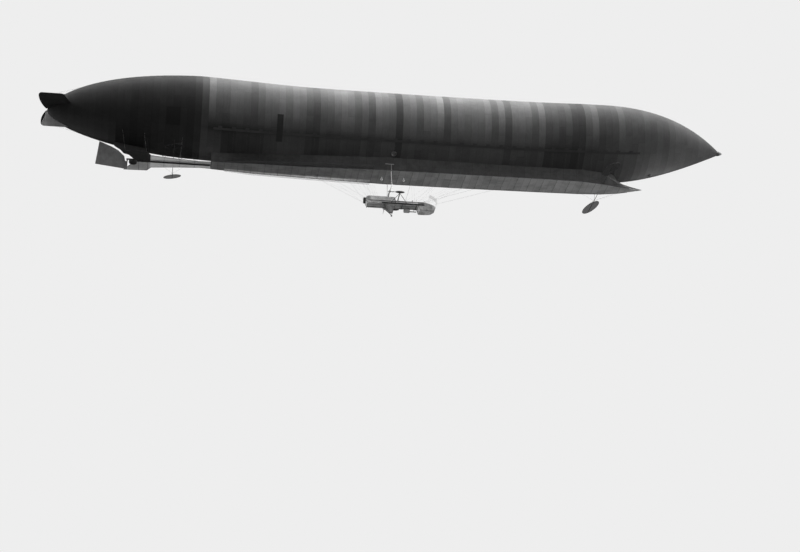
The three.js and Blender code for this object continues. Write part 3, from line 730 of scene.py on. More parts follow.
# Patches on the envelope: from x to x, and from and to an angle from straight below
GIRDLE = 50.0
GIRDLE_HALF = 1.6
GIRDLE_X = np.arange(-26.0, 37.0, 2.0)
GIRDLE_ENDS = (-27.0, 37.5)
RIP_PANEL, RIP_PANEL_SPREAD = (8, 17), (176.5, 183.5)
SIDE_STRIP, SIDE_STRIP_SPREAD = (-17.7, -16.8), (38, 77)
SIDE_PATCH, SIDE_PATCH_SPREAD = (-33.9, -31.9), (50, 75)
PATCH_LIFT = 0.02
NECK_X = 40.0
NECK_PROFILE = (
    (0, -0.1), (0.34, -0.1), (0.33, 0.03), (0.28, 0.1), (0.16, 0.16), (0.06, 0.19), (0.055, 0.22),
    (0.11, 0.27), (0.12, 0.31), (0.03, 0.3), (0, 0.29),
)


def filling_neck():
    """A gathered sleeve of cloth under the belly, tied in its middle, with a ring at its root."""
    belly = float(hull_lift(NECK_X) - hull_radius(NECK_X))
    sleeve = lathe(NECK_PROFILE, (NECK_X, 0, belly), DOWN, 32)
    tie = torus((NECK_X, 0, belly - 0.205), UP, 0.06, 0.014, 24, 6)
    root = torus((NECK_X, 0, belly - 0.01), UP, 0.35, 0.03, 40, 6)
    return joined([sleeve, tie, root])


def make_envelope(context):
    sizes, tones = context.scene.airship_sizes, context.scene.airship_tones
    # The face tones carry the belly's painted shade and painted light
    shape, tones_with_painted_shading = envelope_shape(sizes)
    put("Envelope", shape, envelope_cloth(tones.envelope), "envelope_cloth", "envelope",
        "envelope_stern", face_values={"tone": tones_with_painted_shading})

    girdle_x = np.linspace(*GIRDLE_ENDS, 130)
    parts = [fringe(np.linspace(*RIP_PANEL, 40), *RIP_PANEL_SPREAD, PATCH_LIFT)]
    strips, patches = [], []
    for s in SIGNS:
        parts.append(fringe(girdle_x, s * GIRDLE - GIRDLE_HALF, s * GIRDLE + GIRDLE_HALF, PATCH_LIFT))
        parts += [fringe(np.linspace(x - 0.3, x + 0.3, 5), s * GIRDLE - 4, s * GIRDLE + 1, 0.035)
                  for x in GIRDLE_X]
        strips.append(fringe(np.linspace(*SIDE_STRIP, 8), *np.multiply(SIDE_STRIP_SPREAD, s), 0.028))
        patches.append(fringe(np.linspace(*SIDE_PATCH, 12), *np.multiply(SIDE_PATCH_SPREAD, s), 0.025))
    for name, pieces, finish, tone, dirt in (("Girdle and rip panel", parts, "Girdle cloth", 0.04, 0.2),
                                             ("Side strips", strips, "Strip cloth", 0.022, 0.2),
                                             ("Side patches", patches, "Dark patch cloth", 0.008, 0.1)):
        put(name, joined(pieces), cloth(finish, tone, dirt=dirt), "envelope_cloth")
    put("Filling neck", filling_neck(), cloth("Neck cloth", 0.2, dirt=0.25), "envelope_cloth")


NOSE_PROFILE = (
    (0, 50.9), (0.33, 50.9), (0.365, 50.93), (0.36, 51.0), (0.32, 51.24), (0.3, 51.3), (0.2, 51.56),
    (0.165, 51.6), (0.165, 51.67), (0.15, 51.68), (0.07, 51.68), (0.06, 51.6), (0, 51.6),
)
NOSE_BOLTS_X, NOSE_BOLTS = 51.1, 12
VALVE_ANGLE = 30.0
VALVE_PROFILE = (
    (0, -0.12), (0.4, -0.12), (0.42, -0.1), (0.42, 0.02), (0.4, 0.05), (0.35, 0.06), (0.33, 0.03),
    (0.31, 0.0), (0.29, 0.01), (0.1, 0.03), (0, 0.035),
)
VALVE_SPRING = ((0, 0.0), (0.05, 0.0), (0.045, 0.06), (0, 0.062))
VALVE_ARM, VALVE_BOLTS_RADIUS, VALVE_BOLTS = 0.38, 0.375, 16


def nose_cap():
    """A turned cap over the tip, with two beads and a ring of bolt heads."""
    lift = float(hull_lift(51.2))
    cap = lathe(NOSE_PROFILE, (0, 0, lift), sides=48)
    beads = [torus((x, 0, lift), AHEAD, radius, thick, 48)
             for x, radius, thick in ((50.99, 0.355, 0.014), (51.28, 0.305, 0.012))]
    cosine, sine = circle(NOSE_BOLTS)
    heads = np.stack([np.full(NOSE_BOLTS, NOSE_BOLTS_X), 0.34 * cosine, lift + 0.34 * sine], 1)
    outward = np.stack([np.full(NOSE_BOLTS, 0.1), cosine, sine], 1) * 0.03
    return joined([cap] + beads + [bars(heads - outward, heads + outward, 0.022, 6)])


def gas_valve(sign):
    """A sprung disc on the envelope: its plate, two crossed arms, the spring's cap and a ring of bolts."""
    turn = math.radians(VALVE_ANGLE)
    outward = np.array([0, sign * math.sin(turn), -math.cos(turn)])
    seat = on_hull(0.0, sign * VALVE_ANGLE)
    first, second = across(outward[None])
    raised = seat + outward * 0.045
    arms = [bars(raised - arm * VALVE_ARM, raised + arm * VALVE_ARM, 0.014, 6)
            for arm in (first[0], second[0])]
    cosine, sine = circle(VALVE_BOLTS)
    seats = seat + VALVE_BOLTS_RADIUS * (first * cosine[:, None] + second * sine[:, None])
    bolts = bars(seats, seats + outward * 0.066, 0.012, 6)
    plate, spring = lathe(VALVE_PROFILE, seat, outward, 40), lathe(VALVE_SPRING, seat, outward, 16)
    return joined([plate, spring, bolts] + arms)


def make_nose_and_valves():
    put("Nose mooring cap", nose_cap(), metal("Tarnished sheet", 0.12, roughness=0.5),
        "bright_metal", "nose_mooring_cap")
    for side, sign in SIDES:
        put(f"Gas valve {side}", gas_valve(sign), metal("Valve plate", 0.25), "bright_metal",
            f"gas_valve_{side}")


FIN_ROOT = 0.35
FIN_X = -50.0
TOP_FIN = (2.75, -52.5, -52.45, -48.6, -48.1)
BOTTOM_FIN = (2.7, -52.1, -51.7, -48.2, -47.9)
LEVEL_FIN = (5.15, -52.55, -52.5, -48.9, -47.6)
STAY_TIP_X = -50.9
STAY_REACH = (2.5, 4.7)


def fin_edges(reach, aft_end, waist, tip_fore, root_fore):
    """Fore and aft edges of a stern lobe as arrays of (distance from the axis, x)."""
    fore = np.vstack([[[FIN_ROOT, -50.4]], [[1.4, root_fore]],
                      curve([[reach - 0.25, tip_fore], [reach, tip_fore - 0.2], [reach, tip_fore - 0.6]])])
    aft = np.vstack([curve([[FIN_ROOT, -51.6], [reach * 0.4, waist], [reach * 0.82, aft_end]]),
                     curve([[reach * 0.82, aft_end], [reach, aft_end], [reach, aft_end + 0.55]])[1:]])
    return fore, aft


def fin_shape(edges, degrees):
    """A lobe standing on the tail: flat oval sections between its two edges, turned about the x axis."""
    reach = edges[0]
    fore, aft = fin_edges(*edges)
    stations = FIN_ROOT + (reach - FIN_ROOT) * np.sin(np.linspace(0, np.pi / 2, 90))
    turn = math.radians(degrees)

    def place(chord, station, height):
        return (chord, height * math.cos(turn) - station * math.sin(turn),
                float(hull_lift(FIN_X)) + height * math.sin(turn) + station * math.cos(turn))

    skin = plane_surface(stations, np.interp(stations, *fore.T), np.interp(stations, *aft.T), 0.12, place,
                         ribs=0.45, relief=0.18)
    edge = np.vstack([fore[1:], aft[::-1][1:]])
    rim = tube(np.stack(place(edge[:, 1], edge[:, 0], 0 * edge[:, 0]), 1), 0.045, 8)
    return joined([skin, rim])


def fin_stays():
    """From four places on the tail, one wire to each of the two lobes beside it."""
    lift = float(hull_lift(FIN_X))
    starts = on_hull(-44.5, np.array([45.0, 135, 225, 315]))
    tips = []
    for corner in range(4):
        for quarter in (corner, corner + 1):
            reach, turn = STAY_REACH[quarter % 2], math.radians(quarter * 90)
            tips.append([STAY_TIP_X, reach * math.sin(turn), lift - reach * math.cos(turn)])
    return bars(np.repeat(starts, 2, 0), tips, 0.005, 5)


def make_stern_fins():
    # One fin cloth in two tones: dark as painted shade on the top and level lobes, paler as painted light on
    # the lower lobe
    dark = cloth("Stern fin cloth", 0.04)
    paler = cloth("Lower fin cloth", 0.22, through=0.1)
    put("Stern fin top", fin_shape(TOP_FIN, 0), dark, "pale_cloth", "stern_fin_top")
    put("Stern fin bottom", fin_shape(BOTTOM_FIN, 180), paler, "pale_cloth", "stern_fin_bottom")
    for side, sign in SIDES:
        put(f"Stern fin {side}", fin_shape(LEVEL_FIN, -90 * sign), dark, "envelope_cloth",
            f"stern_fin_{side}")
    put("Stern fin stays", fin_stays(), *dark_tube())


# Keel, boom and their planes

# x, half width and underside at the keel's stations
KEEL_ROWS = (
    (38.6, 0.02, -7.46), (36.8, 0.55, -7.62), (35.2, 1.05, -7.73), (32.5, 1.7, -7.74), (29, 2.12, -7.69),
    (23, 2.28, -7.73), (11, 2.35, -7.87), (-1, 2.35, -7.95), (-13.6, 1.8, -8.0), (-21, 1.6, -7.92),
    (-27, 1.2, -7.8),
)
PROW_TOP = ((33.0, -3.6), (33.4, -4.4), (34.2, -6.4), (35.2, -7.1), (36.8, -7.28), (38.6, -7.38))
KEEL_AFT, KEEL_FORE = -27.0, 38.6
BAY = 2.0
EDGE_AFT, EDGE_FORE = -25, -3
EDGE_Z = -7.81
EDGE_WIDTH = ((-25, 0.35), (-21, 0.8), (-13.6, 1.0), (-3, 0.9))
# Tone and alpha of each edge plane's cloth: the port one pale as painted light, the starboard one dark as
# painted shade
EDGE_CLOTHS_LIT_AND_SHADED = {"port": (0.85, 0.24), "starboard": (0.12, 0.4)}
# Shares of the keel cloth's lightness along x: its floor; its sides, dark as painted shade under the
# envelope;
# and the floor's edge by the port plane, with the floor's port half, lightened as painted light
KEEL_UNDERSIDE = ((-27, 0.5), (-10, 0.55), (10, 0.8), (38.6, 1.0))
KEEL_SIDES_PAINTED_SHADE = ((-27, 0.12), (-23.5, 0.06), (-20, 0.05), (-12, 0.1), (34.2, 0.12), (36, 0.26), (37.5, 0.36))
KEEL_PORT_EDGE_PAINTED_LIGHT = ((-25, 1.5), (-21, 1.7), (-13, 2.7), (-8, 2.7), (-4.5, 1.7), (-3, 1.2))
KEEL_PORT_FLOOR_PAINTED_LIGHT = 1.4


def keel_half_width(x):
    return table(KEEL_ROWS, x, 1)


def keel_under(x):
    return table(KEEL_ROWS, x, 2)


def keel_top(x, y):
    """Height of the keel's top: just inside the belly, or the prow's own edge ahead of it."""
    radius = hull_radius(x)
    belly = hull_lift(x) - np.sqrt(np.maximum(radius**2 - y**2, 0)) + 0.04
    return np.where(x > PROW_TOP[0][0], np.minimum(belly, table(PROW_TOP, x)), belly)


def keel_tones(middle, below, toward_port):
    """A tone for each face: the side's, dark as painted shade, or the floor's where it is below, lightened as
    painted light on its port half and more by the port edge plane.
    """
    by_edge_plane = (middle > EDGE_AFT) & (middle < EDGE_FORE)
    floor = np.where(by_edge_plane & (toward_port > 0.55), KEEL_PORT_FLOOR_PAINTED_LIGHT, table(KEEL_UNDERSIDE, middle))
    floor = np.where(by_edge_plane & (toward_port > 0.7), table(KEEL_PORT_EDGE_PAINTED_LIGHT, middle), floor)
    return np.where(below, floor, table(KEEL_SIDES_PAINTED_SHADE, middle))


def keel_shape(sizes):
    """Cloth drawn over a frame, and its tones with painted shade and light: a flat floor and upright
    sides at each station.

    a runs across the section from -1 to 1 and b up it from 0 to 1. The cloth lies a little hollow
    between frames 2 m apart and between the long battens."""
    count = int((KEEL_FORE - KEEL_AFT) / BAY)
    edges = KEEL_AFT + BAY * np.arange(count + 1)
    x = np.concatenate([(edges[:-1, None] + BAY * np.array([0, 0.03, 0.25, 0.5, 0.75, 0.97])).ravel(),
                        edges[-1:], np.linspace(edges[-1], KEEL_FORE, 8)[1:]])
    near_frame = np.abs(np.cos(np.pi * (x - KEEL_AFT) / BAY)) ** 24
    floor_y = np.linspace(-1, 1, 29)[1:-1]
    side = np.array([0.0, 0.015, 0.03, 0.12, 0.24, 0.35, 0.47, 0.5, 0.53, 0.7, 0.85, 0.97, 1.0])
    top_y = np.linspace(1, -1, 9)[1:-1]
    a = np.concatenate([floor_y, np.ones(len(side)), top_y, -np.ones(len(side))])
    b = np.concatenate([np.zeros(len(floor_y)), side, np.ones(len(top_y)), side[::-1]])
    on_floor = np.concatenate([np.ones(len(floor_y)), np.zeros(len(a) - len(floor_y))])
    on_side = np.concatenate([np.zeros(len(floor_y)), side > 0, np.zeros(len(top_y)), side[::-1] > 0])
    batten = np.where(on_floor > 0, np.abs(np.cos(np.pi * a * 2)) ** 12,
                      np.maximum(np.exp(-((b - 0.5) / 0.03) ** 2), np.exp(-(b / 0.03) ** 2)))
    hollow = sizes.cloth_hollow * (1 - near_frame[:, None]) * (1 - batten[None])
    width = keel_half_width(x)[:, None]
    y = a[None] * np.maximum(width - hollow * on_side[None], 0.01)
    under = keel_under(x)[:, None]
    z = under + b[None] * (keel_top(x[:, None], y) - under) + hollow * on_floor[None]
    z = z + 0.05 * (np.abs(a) == 1)[None] * (b == 0)[None]
    grid = np.stack([np.broadcast_to(x[:, None], y.shape), y, z], -1)
    x_ends = doubled_ends(x)
    around = np.concatenate([a[:len(floor_y)] * 2.2, 2.2 + side * 3, 8 + top_y, 12 + side * 3, [15.0]])
    shape = surface(capped(grid), u=x_ends, v=around)
    middle = (x_ends[1:] + x_ends[:-1])[:, None] / 2
    below = (on_floor * np.roll(on_floor, -1))[None] + (b * np.roll(b, -1) == 0)[None] > 0
    toward_port = ((a + np.roll(a, -1)) / 2)[None]
    return shape, keel_tones(middle, below, toward_port).ravel()


def keel_rails():
    """A rail along each lower edge and a batten across under every frame."""
    x = np.arange(KEEL_AFT, 37.0, 0.5)
    rails = [tube(np.stack([x, s * keel_half_width(x), keel_under(x) + 0.03], 1), 0.045, 8) for s in SIGNS]
    frames = np.arange(KEEL_AFT, 36.5, BAY)
    frames[0] += 0.05
    low = np.stack([frames, keel_half_width(frames), keel_under(frames) + 0.02], 1)
    return joined(rails + [bars(low, low * [1, -1, 1], 0.03, 6)])


def edge_plane(sign):
    """A narrow level plane along the keel's lower edge."""
    stations = np.linspace(EDGE_AFT, EDGE_FORE, 111)
    inner = keel_half_width(stations)

    def place(chord, station, height):
        return station, sign * chord, EDGE_Z + height

    return plane_surface(stations, inner + table(EDGE_WIDTH, stations), inner + 0.01, 0.05, place, ribs=1.0,
                         columns=16)


def make_keel(context):
    shape, tones = keel_shape(context.scene.airship_sizes)
    # The keel's face tones carry painted shade on its sides and painted light by the port edge plane
    put("Keel", shape, *keel_cloth(), "keel_frame", angle=30, face_values={"tone": tones})
    put("Keel rails", keel_rails(), *painted_tube())
    here = GIRDLE_X[GIRDLE_X > KEEL_AFT]
    for side, sign in SIDES:
        starts = on_hull(here, sign * (GIRDLE - 3.6), 0.03)
        ends = np.stack([here, sign * (keel_half_width(here) + 0.02), keel_under(here) + 0.06], 1)
        put(f"Keel lines {side}", bars(starts, ends, 0.006, 5), *painted_tube())
        # One cloth, pale on the port side as painted light and dark on the starboard side as painted shade
        tone, alpha = EDGE_CLOTHS_LIT_AND_SHADED[side]
        material = cloth(f"Edge plane cloth {side}", tone, dirt=0.1, alpha=alpha)
        put(f"Keel edge plane {side}", edge_plane(sign), material, "pale_cloth", f"keel_edge_plane_{side}")


BOOM_START = np.array([-27.004, 0, -7.55])
BOOM_END = np.array([-39.42, 0, -7.63])
BOOM_RADIUS, BOOM_TAPER = 0.2, 0.08
BOOM_COLLARS = (0.01, 0.17, 0.34, 0.46, 0.66, 0.83, 0.985)
RUDDER_X = -39.3
BOOM_STAY_X = np.array([-29.0, -31.3, -33.6, -36.0])
BOOM_STAY_Z = -7.45
BOOM_STAY_ANGLE = 26.0
# The flat plane under the boom: half width and notch by x, its step, and tone and alpha of its cloths;
# the starboard tail's cloth is made dark as painted shade
BOOM_PLANE_Z = -7.782
BOOM_PLANE = ((-27.004, 1.1), (-28.6, 1.0), (-31.6, 1.3), (-35.8, 1.9), (-36.4, 2.95), (-39.8, 3.1))
BOOM_NOTCH = ((-39.8, 3.1), (-38.3, 0.5), (-38.29, 0.0))
BOOM_STEP_X = -35.9
NOTCH_X, NOTCH_Y = -38.3, 0.5
THIN_CLOTH, PALE_CLOTH, PAINTED_SHADE_CLOTH = ("Thin", 0.85, 0.55), ("Pale", 0.55, 0.75), ("Dark", 0.05, 0.9)
BOOM_RIB_X = (-37.6, -36.3, -33.9, -31.6, -29.4)
BOOM_BONES_Z = -7.8
CASING_X = -38.45
# Radius and depth below the axis of the casing under the plane's end
CASING_PROFILE = (
    (0, 7.79), (0.5, 7.79), (0.5, 7.84), (0.58, 7.86), (0.6, 7.9), (0.6, 8.0), (0.58, 8.01), (0.58, 8.05),
    (0.6, 8.06), (0.6, 8.16), (0.56, 8.22), (0.45, 8.24), (0.1, 8.25), (0.09, 8.22), (0, 8.22),
)
# Fore and aft edges by height: (z, x)
BOOM_FIN_FORE = ((-7.6, -35.95), (-6.45, -36.65), (-4.0, -36.2))
BOOM_FIN_AFT = (
    (-7.6, -38.3), (-7.1, -38.3), (-6.95, -38.9), (-6.7, -39.9), (-6.15, -40.4), (-5.6, -41.3), (-4.0, -41.6),
)
RUDDER_FORE = (
    (-9.22, -39.3), (-8.05, -39.3), (-7.95, -39.62), (-7.2, -39.78), (-6.3, -40.7), (-5.8, -41.6),
    (-5.0, -43.45),
)
RUDDER_AFT = ((-9.22, -39.5), (-8.7, -43.9), (-5.0, -43.5))
HORN_Z = -8.0


def upright(chord, station, height):
    """Places a plane that stands in the middle plane: its chord along x and its stations up z."""
    return chord, height, station


def boom_shape():
    """A tapered tube with collars, and the lug for the rudder's stock under its end."""
    share = np.linspace(0, 1, 40)
    along = BOOM_END - BOOM_START
    shaft = tube(BOOM_START + along * share[:, None], BOOM_RADIUS - BOOM_TAPER * share, 20)
    collars = [torus(BOOM_START + along * s, AHEAD, BOOM_RADIUS - BOOM_TAPER * s + 0.005, 0.022, 32, 6)
               for s in BOOM_COLLARS]
    lug = bars([RUDDER_X, 0, -7.66], [RUDDER_X, 0, -7.95], 0.09, 16)
    band = bars([RUDDER_X, 0, -7.8], [RUDDER_X, 0, -7.84], 0.105, 16)
    return joined([shaft, lug, band] + collars)


def boom_stays():
    """Upright and crossing stays from the boom to the tail on both sides."""
    starts = np.stack([BOOM_STAY_X, 0 * BOOM_STAY_X, np.full(len(BOOM_STAY_X), BOOM_STAY_Z)], 1)
    hull_x = BOOM_STAY_X - 0.6
    stays = [bars(starts, on_hull(hull_x, s * BOOM_STAY_ANGLE), 0.02, 6) for s in SIGNS]
    crossing = [bars(starts[:-1], on_hull(hull_x[1:], s * BOOM_STAY_ANGLE), 0.009, 5) for s in SIGNS]
    return joined(stays + crossing)


def boom_plane_sheet(stations, sign):
    """One side of the swallow-tailed plane, from its notch to its outer edge."""
    outer = table(BOOM_PLANE, stations)
    inner = np.clip(table(BOOM_NOTCH, stations), 0.01, outer - 0.01)

    def place(chord, station, height):
        return station, sign * chord, BOOM_PLANE_Z + height

    return plane_surface(stations, outer, inner, 0.055, place, ribs=0.9, columns=32)


def boom_plane_frame():
    """The plane's rim, its spine along the middle with a flat sleeve, and bars across."""
    rim = [(x, y, BOOM_PLANE_Z) for x, y in BOOM_PLANE] + [(NOTCH_X, NOTCH_Y, BOOM_PLANE_Z)]
    rim += [(x, -y, z) for x, y, z in rim[::-1]]
    spine = bars([NOTCH_X, 0, BOOM_BONES_Z], [-27.4, 0, BOOM_BONES_Z], 0.045, 10)
    sleeve = rounded_box((-38.2, -0.26, -7.84), (-27.1, 0.26, BOOM_BONES_Z), 0.015)
    tips = np.array([[x, table(BOOM_PLANE, x), -7.79] for x in BOOM_RIB_X])
    return joined([tube_through(rim, 0.04), spine, bars(tips * [1, -1, 1], tips, 0.025, 8), sleeve])


def make_boom():
    put("Stern boom", boom_shape(), *painted_tube(), "stern_boom")
    put("Boom stays", boom_stays(), *dark_tube())
    band = np.linspace(BOOM_STEP_X, BOOM_START[0], 110)
    tail = np.linspace(BOOM_PLANE[-1][0], BOOM_STEP_X, 50)
    # The starboard tail plane's cloth is made dark as painted shade
    for name, stations, sign, finish in (("Boom plane", band, 1, THIN_CLOTH),
                                         ("Boom plane starboard", band, -1, THIN_CLOTH),
                                         ("Tail plane port", tail, 1, PALE_CLOTH),
                                         ("Tail plane starboard", tail, -1, PAINTED_SHADE_CLOTH)):
        kind, tone, alpha = finish
        material = cloth(f"{kind} boom plane cloth", tone, dirt=0.15, through=0.1, alpha=alpha)
        put(name, boom_plane_sheet(stations, sign), material, "pale_cloth", "boom_plane")
    put("Boom plane frame", boom_plane_frame(), *dark_tube())
    casing = lathe(CASING_PROFILE, (CASING_X, 0, 0), DOWN, 48)
    bolts = round_places((CASING_X, 0, -8.23), 0.52, 12)
    put("Tail casing", joined([casing, bars(bolts - [0, 0, 0.02], bolts + [0, 0, 0.03], 0.018, 6)]),
        *dark_tube("dark_metal"))
    stations = np.linspace(-7.6, -4.7, 80)
    fin = plane_surface(stations, table(BOOM_FIN_FORE, stations), table(BOOM_FIN_AFT, stations), 0.1, upright,
                        ribs=0.45)
    put("Boom fin", fin, cloth("Boom fin cloth", 0.03), "keel_cloth", "boom_fin")


def make_rudder():
    stations = np.linspace(-9.22, -5.0, 110)
    blade = plane_surface(stations, table(RUDDER_FORE, stations), table(RUDDER_AFT, stations), 0.08, upright,
                          ribs=0.6)
    put("Rudder blade", blade, cloth("Rudder cloth", 0.2, through=0.2), "pale_cloth", "rudder",
        body="rudder_blade", angle=30)
    rim = [(x, 0, z) for z, x in RUDDER_FORE + RUDDER_AFT[::-1]]
    stock = bars([RUDDER_X, 0, -9.22], [RUDDER_X, 0, -7.954], 0.06, 16)
    bands = [torus((RUDDER_X, 0, z), UP, 0.062, 0.014, 20, 6) for z in (-9.1, -8.6, -8.1)]
    horn = [bars([-39.9, s * 0.04, HORN_Z], [-39.75, s * 0.42, HORN_Z], 0.022, 8) for s in SIGNS]
    brace = [bars([-41.2, s * 0.04, HORN_Z], [-39.75, s * 0.42, HORN_Z], 0.008, 5) for s in SIGNS]
    put("Rudder frame", joined([stock, tube_through(rim, 0.028)] + bands + horn + brace), *painted_tube(),
        body="rudder_blade")


# The elevating planes: x, z and root of the spar, half span, half chord, pitch in degrees and cloth,
# the cloth made near black as painted shade
PLANES = {
    "front": (32.2, -7.6, 4.65, 2.0, 1.4, 25, ("Front plane cloth", 0.03, 0.7)),
    "aft": (-32.57, -7.57, 4.35, 0.65, 1.3, 10, ("Aft plane cloth", 0.02, 0.65)),
}
STRUT_FOOT = 0.4
STRUT_HEAD, STRUT_HEAD_Z = 2.3, -3.5
HORN_FROM_ROOT, HORN_HEIGHT = 0.25, 0.28


def outrigger(place, sign):
    """A tube out from the keel or the boom, a strut up to the envelope's skin and two wires."""
    x, z, root = PLANES[place][:3]
    inner = float(keel_half_width(x)) - 0.1 if place == "front" else 0.1
    arm = bars([x, sign * inner, z], [x, sign * (root - 0.004), z], 0.035, 16)
    low = np.array([x, sign * (root - STRUT_FOOT), z])
    high = np.array([x, sign * (root - STRUT_HEAD), STRUT_HEAD_Z])
    on_skin = 1.0
    for _ in range(20):
        point = low + (high - low) * on_skin
        deep = hull_radius(x) - math.hypot(point[1], point[2] - hull_lift(x))
        on_skin -= max(float(deep) - 0.05, 0) / 4
    strut = bars(low, low + (high - low) * on_skin, 0.02, 12)
    collars = [torus((x, sign * y, z), ABEAM, 0.037, 0.014, 24, 6)
               for y in (root - STRUT_FOOT, root - 0.03, root - 1.4)]
    moored = x + np.array([2.6, -2.6])
    aside = sign * (keel_half_width(moored) - 0.05) if place == "front" else 0 * moored
    wires = bars(low, np.stack([moored, aside, 0 * moored + z - 0.05], 1), 0.007, 5)
    return joined([arm, strut, wires] + collars)


def elliptic_plane(place, sign):
    """The cloth and the bones of an elliptic plane about its own spar, level, before it is pitched."""
    root, half_span, half_chord = PLANES[place][2:5]
    span = np.sin(np.linspace(-np.pi / 2, np.pi / 2, 90))
    edge = half_chord * np.sqrt(np.maximum(1 - span**2, 0))

    def lay(chord, station, height):
        return chord, sign * (root + half_span + station * half_span), height

    skin = plane_surface(span, edge, -edge, 0.055, lay, ribs=0.22)
    cosine, sine = circle(60)
    rim = np.stack(lay(half_chord * 0.995 * cosine, 0.995 * sine, 0 * cosine), 1)
    spar = bars([0, sign * root, 0], [0, sign * (root + 1.9 * half_span), 0], 0.04, 12)
    horn_top = np.array([0, sign * (root + HORN_FROM_ROOT), HORN_HEIGHT])
    horn_foot = horn_top * [1, 1, -1]
    anchors = [[c * half_chord * 0.6, sign * (root + 0.5), 0] for c in (1, -1, 1, -1)]
    guys = bars([horn_top, horn_top, horn_foot, horn_foot], anchors, 0.007, 5)
    bones = [tube(rim, 0.03, 8, closed=True), spar, bars(horn_foot, horn_top, 0.016, 8), guys]
    return skin, joined(bones)


def make_elevating_planes():
    for place, (x, z, _, _, _, pitch, (finish, tone, alpha)) in PLANES.items():
        for side, sign in SIDES:
            name = f"{place.capitalize()} plane"
            put(f"{place.capitalize()} outrigger {side}", outrigger(place, sign), *dark_tube(),
                f"{place}_outrigger_{side}")
            skin, bones = (part.turned(-pitch, ABEAM).moved((x, 0, z))
                           for part in elliptic_plane(place, sign))
            body = f"{place}_plane_{side}"
            # The plane's cloth is near black as painted shade
            put(f"{name} {side}", skin, cloth(finish, tone, alpha=alpha), "pale_cloth",
                f"elevator_{place}_{side}", body=body)
            put(f"{name} frame {side}", bones, *dark_tube(), body=body)


# Car

CAR_AFT, CAR_FORE = -3.85, 6.66
ROOM_AFT, ROOM_FORE = -3.77, 6.58
# The car by x: half width, bottom, rim and inner bottom
CAR_PLAN = ((-3.85, 0.7), (-3.3, 0.85), (5.0, 0.85), (6.0, 0.68), (6.5, 0.4), (6.66, 0.12))
CAR_BOTTOM = (
    (-3.85, -12.4), (-3.55, -12.75), (3.95, -12.75), (4.15, -13.48), (5.9, -13.48), (6.45, -13.25),
    (6.66, -12.65),
)
CAR_RIM = (
    (-3.85, -11.8), (-3.6, -11.6), (0.45, -11.62), (0.55, -12.2), (4.8, -12.2), (6.6, -12.55), (6.66, -12.6),
)
CAR_ROOM = (
    (-3.77, -12.36), (-3.5, -12.67), (4.02, -12.67), (4.22, -13.4), (5.86, -13.4), (6.38, -13.2),
    (6.58, -12.65),
)
CAR_RIBS = np.concatenate([np.arange(-3.6, 4.0, 0.52), [4.3, 4.8, 5.3, 5.8]])
BAND_RIBS = 15
WALL, CHINE_RADIUS = 0.08, 0.09
FLOOR, PIT_FLOOR = -12.666, -13.397
BED = -12.664
SLAT, SLAT_PITCH = 0.09, 0.115
CROSS_BAR_X, CROSS_BAR_Z = (-3.6, -1.0, 1.6, 3.7), -12.79
# Shares of white for the car's cover: under it, lightened as painted light from below, and its side aft
# and fore of the step in its rim
UNDER_PAINTED_LIGHT_TONE, AFT_SIDE_TONE, FORE_SIDE_TONE = 0.9, 0.58, 0.42
SIDE_STEP_X, UNDER_FORE = 0.5, 5.9
SHAFT_Z = -12.33


def car_shape():
    """A boat from stacked U sections: the outer skin to the rim, then the inner skin.

    Its half width, bottom, rim and inner bottom at each x come from the tables."""
    kinks = [row[0] for row in CAR_PLAN + CAR_BOTTOM + CAR_RIM + CAR_ROOM]
    near = np.concatenate([CAR_RIBS - 0.03, CAR_RIBS, CAR_RIBS + 0.03])
    x = np.unique(np.round(np.concatenate([kinks, near, np.linspace(CAR_AFT, CAR_FORE, 60)]), 3))
    x = x[(x >= CAR_AFT) & (x <= CAR_FORE)]
    x = np.sort(np.concatenate([x, [ROOM_AFT, ROOM_FORE]]))
    hollow = np.zeros(len(x), bool)
    hollow[np.searchsorted(x, ROOM_AFT) + 1:np.searchsorted(x, ROOM_FORE, side="right") - 1] = True
    half, bottom, rim = table(CAR_PLAN, x), table(CAR_BOTTOM, x), table(CAR_RIM, x)
    room = np.where(hollow, np.maximum(table(CAR_ROOM, x), bottom + WALL), rim)
    near_rib = np.abs(x[:, None] - CAR_RIBS).min(1) < 0.02
    width = half - np.where(near_rib, 0.0, 0.012)
    inside = np.maximum(half - WALL, 0.02)
    side = np.linspace(1, 0, 9)[1:-1]
    turn = np.linspace(0, np.pi / 2, 5)
    low = bottom + CHINE_RADIUS

    def outer(sign):
        columns = [(sign * half, rim)]
        columns += [(sign * width, low + (rim - low) * s) for s in side]
        columns += [(sign * (width - CHINE_RADIUS * (1 - np.cos(t))), low - CHINE_RADIUS * np.sin(t))
                    for t in turn]
        return columns

    def inner(sign):
        return [(sign * inside, room + (rim - room) * s) for s in (1, *side, 0)]

    flat = [((width - CHINE_RADIUS) * s, bottom) for s in np.linspace(1, -1, 9)[1:-1]]
    columns = outer(1) + flat + outer(-1)[::-1] + inner(-1) + inner(1)[::-1]
    grid = np.stack([np.stack([x, y, z], 1) for y, z in columns], 1)
    steps = np.linalg.norm(np.diff(grid[len(x) // 3], axis=0), axis=1)
    lengths = np.concatenate([[0], np.cumsum(steps), [9.0]])
    return surface(capped(grid), u=doubled_ends(x), v=lengths)


def cover_tones(cover):
    """A tone for each face of the car's cover, from the middle of the face, lighter underneath as
    painted light.
    """
    x, _, z = cover.points[cover.faces[0]].mean(1).T
    under = (z < table(CAR_BOTTOM, x) + 0.05) & (x < UNDER_FORE)
    return np.where(under, UNDER_PAINTED_LIGHT_TONE, np.where(x < SIDE_STEP_X, AFT_SIDE_TONE, FORE_SIDE_TONE))


